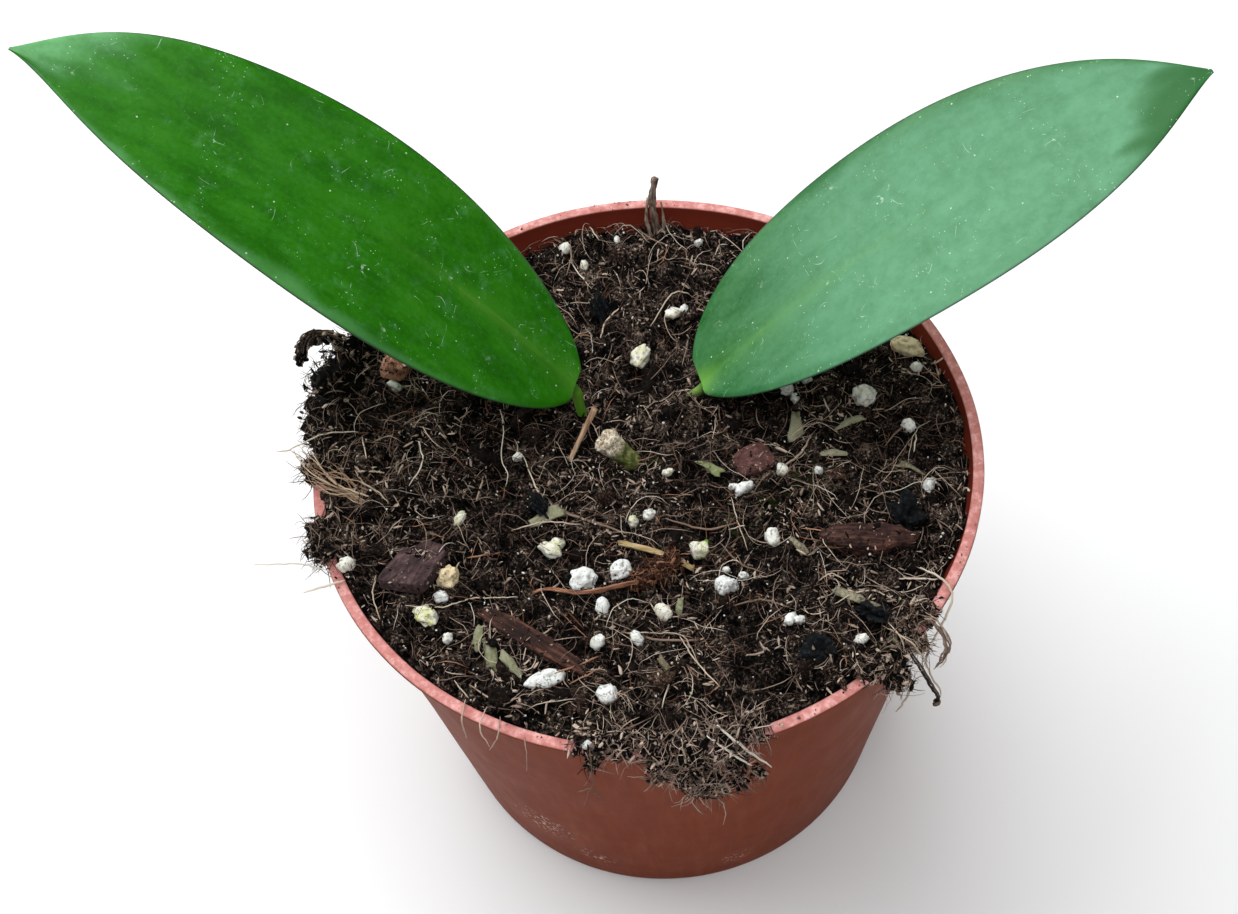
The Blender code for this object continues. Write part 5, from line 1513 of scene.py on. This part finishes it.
def make_flakes(draw):
    look = grain_look("leaf_litter", 0.7, (0.2, (184, 150, 122)), (0.42, (98, 88, 70)),
                      (0.58, (158, 154, 130)), (0.8, (120, 126, 88)), (1.0, (124, 176, 62)),
                      fine=0.8, size=0.5)
    x, y, length, width, turn, tint = np.array(FLAKES_MM).T
    base, faces = ball(3)
    count = len(x)
    torn = np.sign(base) * np.abs(base) ** (0.55, 0.7, 1.0)
    local = torn[None] * np.stack([length / 2, width / 2, np.full(count, 0.14)], 1)[:, None] * MM
    share = local[..., 0] / (length[:, None] / 2 * MM)
    local[..., 1] *= 0.8 - draw.uniform(-0.4, 0.4, (count, 1)) * share
    ragged = smooth_noise((local + np.arange(count)[:, None, None] * 0.01).reshape(-1, 3), 0.9, 22)
    local[..., :2] *= 1 + 0.6 * ragged.reshape(count, -1, 1)
    local[..., 2] += (0.5 - 1.1 * share ** 2) * draw.uniform(0.2, 0.9, (count, 1)) * MM
    local[..., 2] += 0.15 * MM * smooth_noise(local.reshape(-1, 3), 1.0, 21).reshape(count, -1)
    local[..., 2] += share * draw.uniform(-0.5, 0.5, (count, 1)) * MM
    cos, sin = np.cos(np.radians(turn))[:, None], np.sin(np.radians(turn))[:, None]
    placed = np.stack([x[:, None] * MM + local[..., 0] * cos - local[..., 1] * sin,
                       y[:, None] * MM + local[..., 0] * sin + local[..., 1] * cos,
                       surface(x * MM, y * MM)[:, None] + 0.9 * MM + local[..., 2]], -1).reshape(-1, 3)
    values = {"tone": np.repeat(tint, len(base))}
    dress(make_object("leaf_litter", placed, repeat_faces(faces, len(base), count), look, values), "pale_husk")


def make_spills(crumbs, dark, tan, mat, pale, rust, rot, grass):
    """The clumps over the rim, the fibres that hang from them, and the crumbs on the rim."""
    draw = np.random.default_rng(SPILL_SEED)
    make_spill("left_clump", LEFT_SPILL, draw, crumbs, 150)
    make_spill("front_clump", FRONT_SPILL, draw, crumbs, 110, 0.5)
    make_spill("right_clump", RIGHT_SPILL, draw, crumbs, 110, 0.62)
    make_spill("brown_clod", BROWN_CLOD, draw, rot, 60, 0.8)
    spill_fibres("brown_clod_fibres", BROWN_CLOD, draw, 420, rust, (0.8, 3), out=0.4)
    spill_fibres("left_clump_fibres", LEFT_SPILL, draw, 1400, dark, out=0.04)
    spill_fibres("left_clump_hairs", LEFT_SPILL, draw, 190, tan, (1.5, 6))
    spill_fibres("front_clump_fibres", FRONT_MAT, draw, 1000, mat, (1, 6.5), (0.03, 0.1), 0.3, -0.15,
                 (0.45, 1.0))
    spill_fibres("front_clump_dark", FRONT_SPILL, draw, 600, dark, (1, 4.5), out=-0.1)
    hand_fibres("front_twigs", TWIGS_MM, pale, (0.16, 0.22), draw)
    spill_fibres("right_clump_fibres", RIGHT_SPILL, draw, 500, tan, (1, 4.5), curl=0.7, out=0.1)
    spill_fibres("right_clump_dark", RIGHT_SPILL, draw, 300, dark, (1, 4.5), curl=0.7, out=0.1)
    hand_fibres("pale_hanging", PALE_HANGING_MM, pale, (0.1, 0.2), draw)
    hand_fibres("tan_hanging", TAN_HANGING_MM, tan, (0.07, 0.16), draw)
    bundle = [np.array(route) + draw.normal(0, 1.0, (len(route), 3)) * (1, 1, 0.5) for route in GRASS_MM * 7]
    hand_fibres("grass_strands", bundle, grass, (0.05, 0.13), draw)
    arm = [np.array(ARM_MM) + draw.normal(0, 0.45, (1, 3)) + draw.normal(0, 0.2, (len(ARM_MM), 3))
           for _ in range(22)]
    hand_fibres("left_arm", arm, dark, (0.08, 0.2), draw, sides=3)
    drip = [np.array(DRIP_MM) + draw.normal(0, 0.12, (1, 3)) for _ in range(3)]
    root = [np.array(ROOT_MM) + draw.normal(0, 0.3, (len(ROOT_MM), 3)) for _ in range(7)]
    hand_fibres("right_root", root, tan, (0.1, 0.2), draw)
    hand_fibres("right_drip", drip, dark, (0.12, 0.2), draw)
    hanging_bits(draw, crumbs)
    rim_dirt(draw, crumbs)


make_camera()
make_studio()
crumbs = grain_look("crumbs", 0.7, (0.2, (4, 4, 4)), (0.44, (20, 16, 14)), (0.64, (80, 64, 55)),
                    (0.88, (204, 182, 164)))
clods = grain_look("clods", 0.9, (0.3, (5, 4, 4)), (0.5, (24, 18, 15)), (0.62, (66, 50, 42)),
                   (0.75, (140, 116, 98)), fine=0.85, size=0.4)
coal = grain_look("charcoal", 0.5, (0.3, (6, 7, 8)), (0.5, (21, 24, 26)), (0.64, (54, 58, 62)), fine=0.9,
                  size=0.7)
rot = grain_look("brown_rot", 0.9, (0.3, (20, 12, 9)), (0.55, (78, 52, 40)), (0.85, (150, 112, 88)), fine=0.7,
                 size=0.4)
dark = strand_look("dark_fibres", (10, 8, 7), (46, 37, 32), (116, 96, 85), (206, 184, 166))
tan = strand_look("tan_fibres", (74, 57, 48), (152, 127, 110), (234, 214, 194))
mat = strand_look("mat_fibres", (112, 90, 78), (178, 152, 136), (230, 210, 194))
pale = strand_look("pale_fibres", (190, 170, 145), (226, 212, 190), (242, 234, 220))
rust = strand_look("rust_fibres", (66, 40, 30), (132, 90, 68), (196, 146, 116))
grass = strand_look("grass_fibres", (104, 82, 64), (168, 138, 112), (224, 198, 170))
make_soil(crumbs, clods, coal, dark, tan, pale, rust)
make_spills(crumbs, dark, tan, mat, pale, rust, rot, grass)
make_pieces(crumbs)
make_stem()
for leaf_name in LEAVES:
    make_leaf(leaf_name)
make_pot()
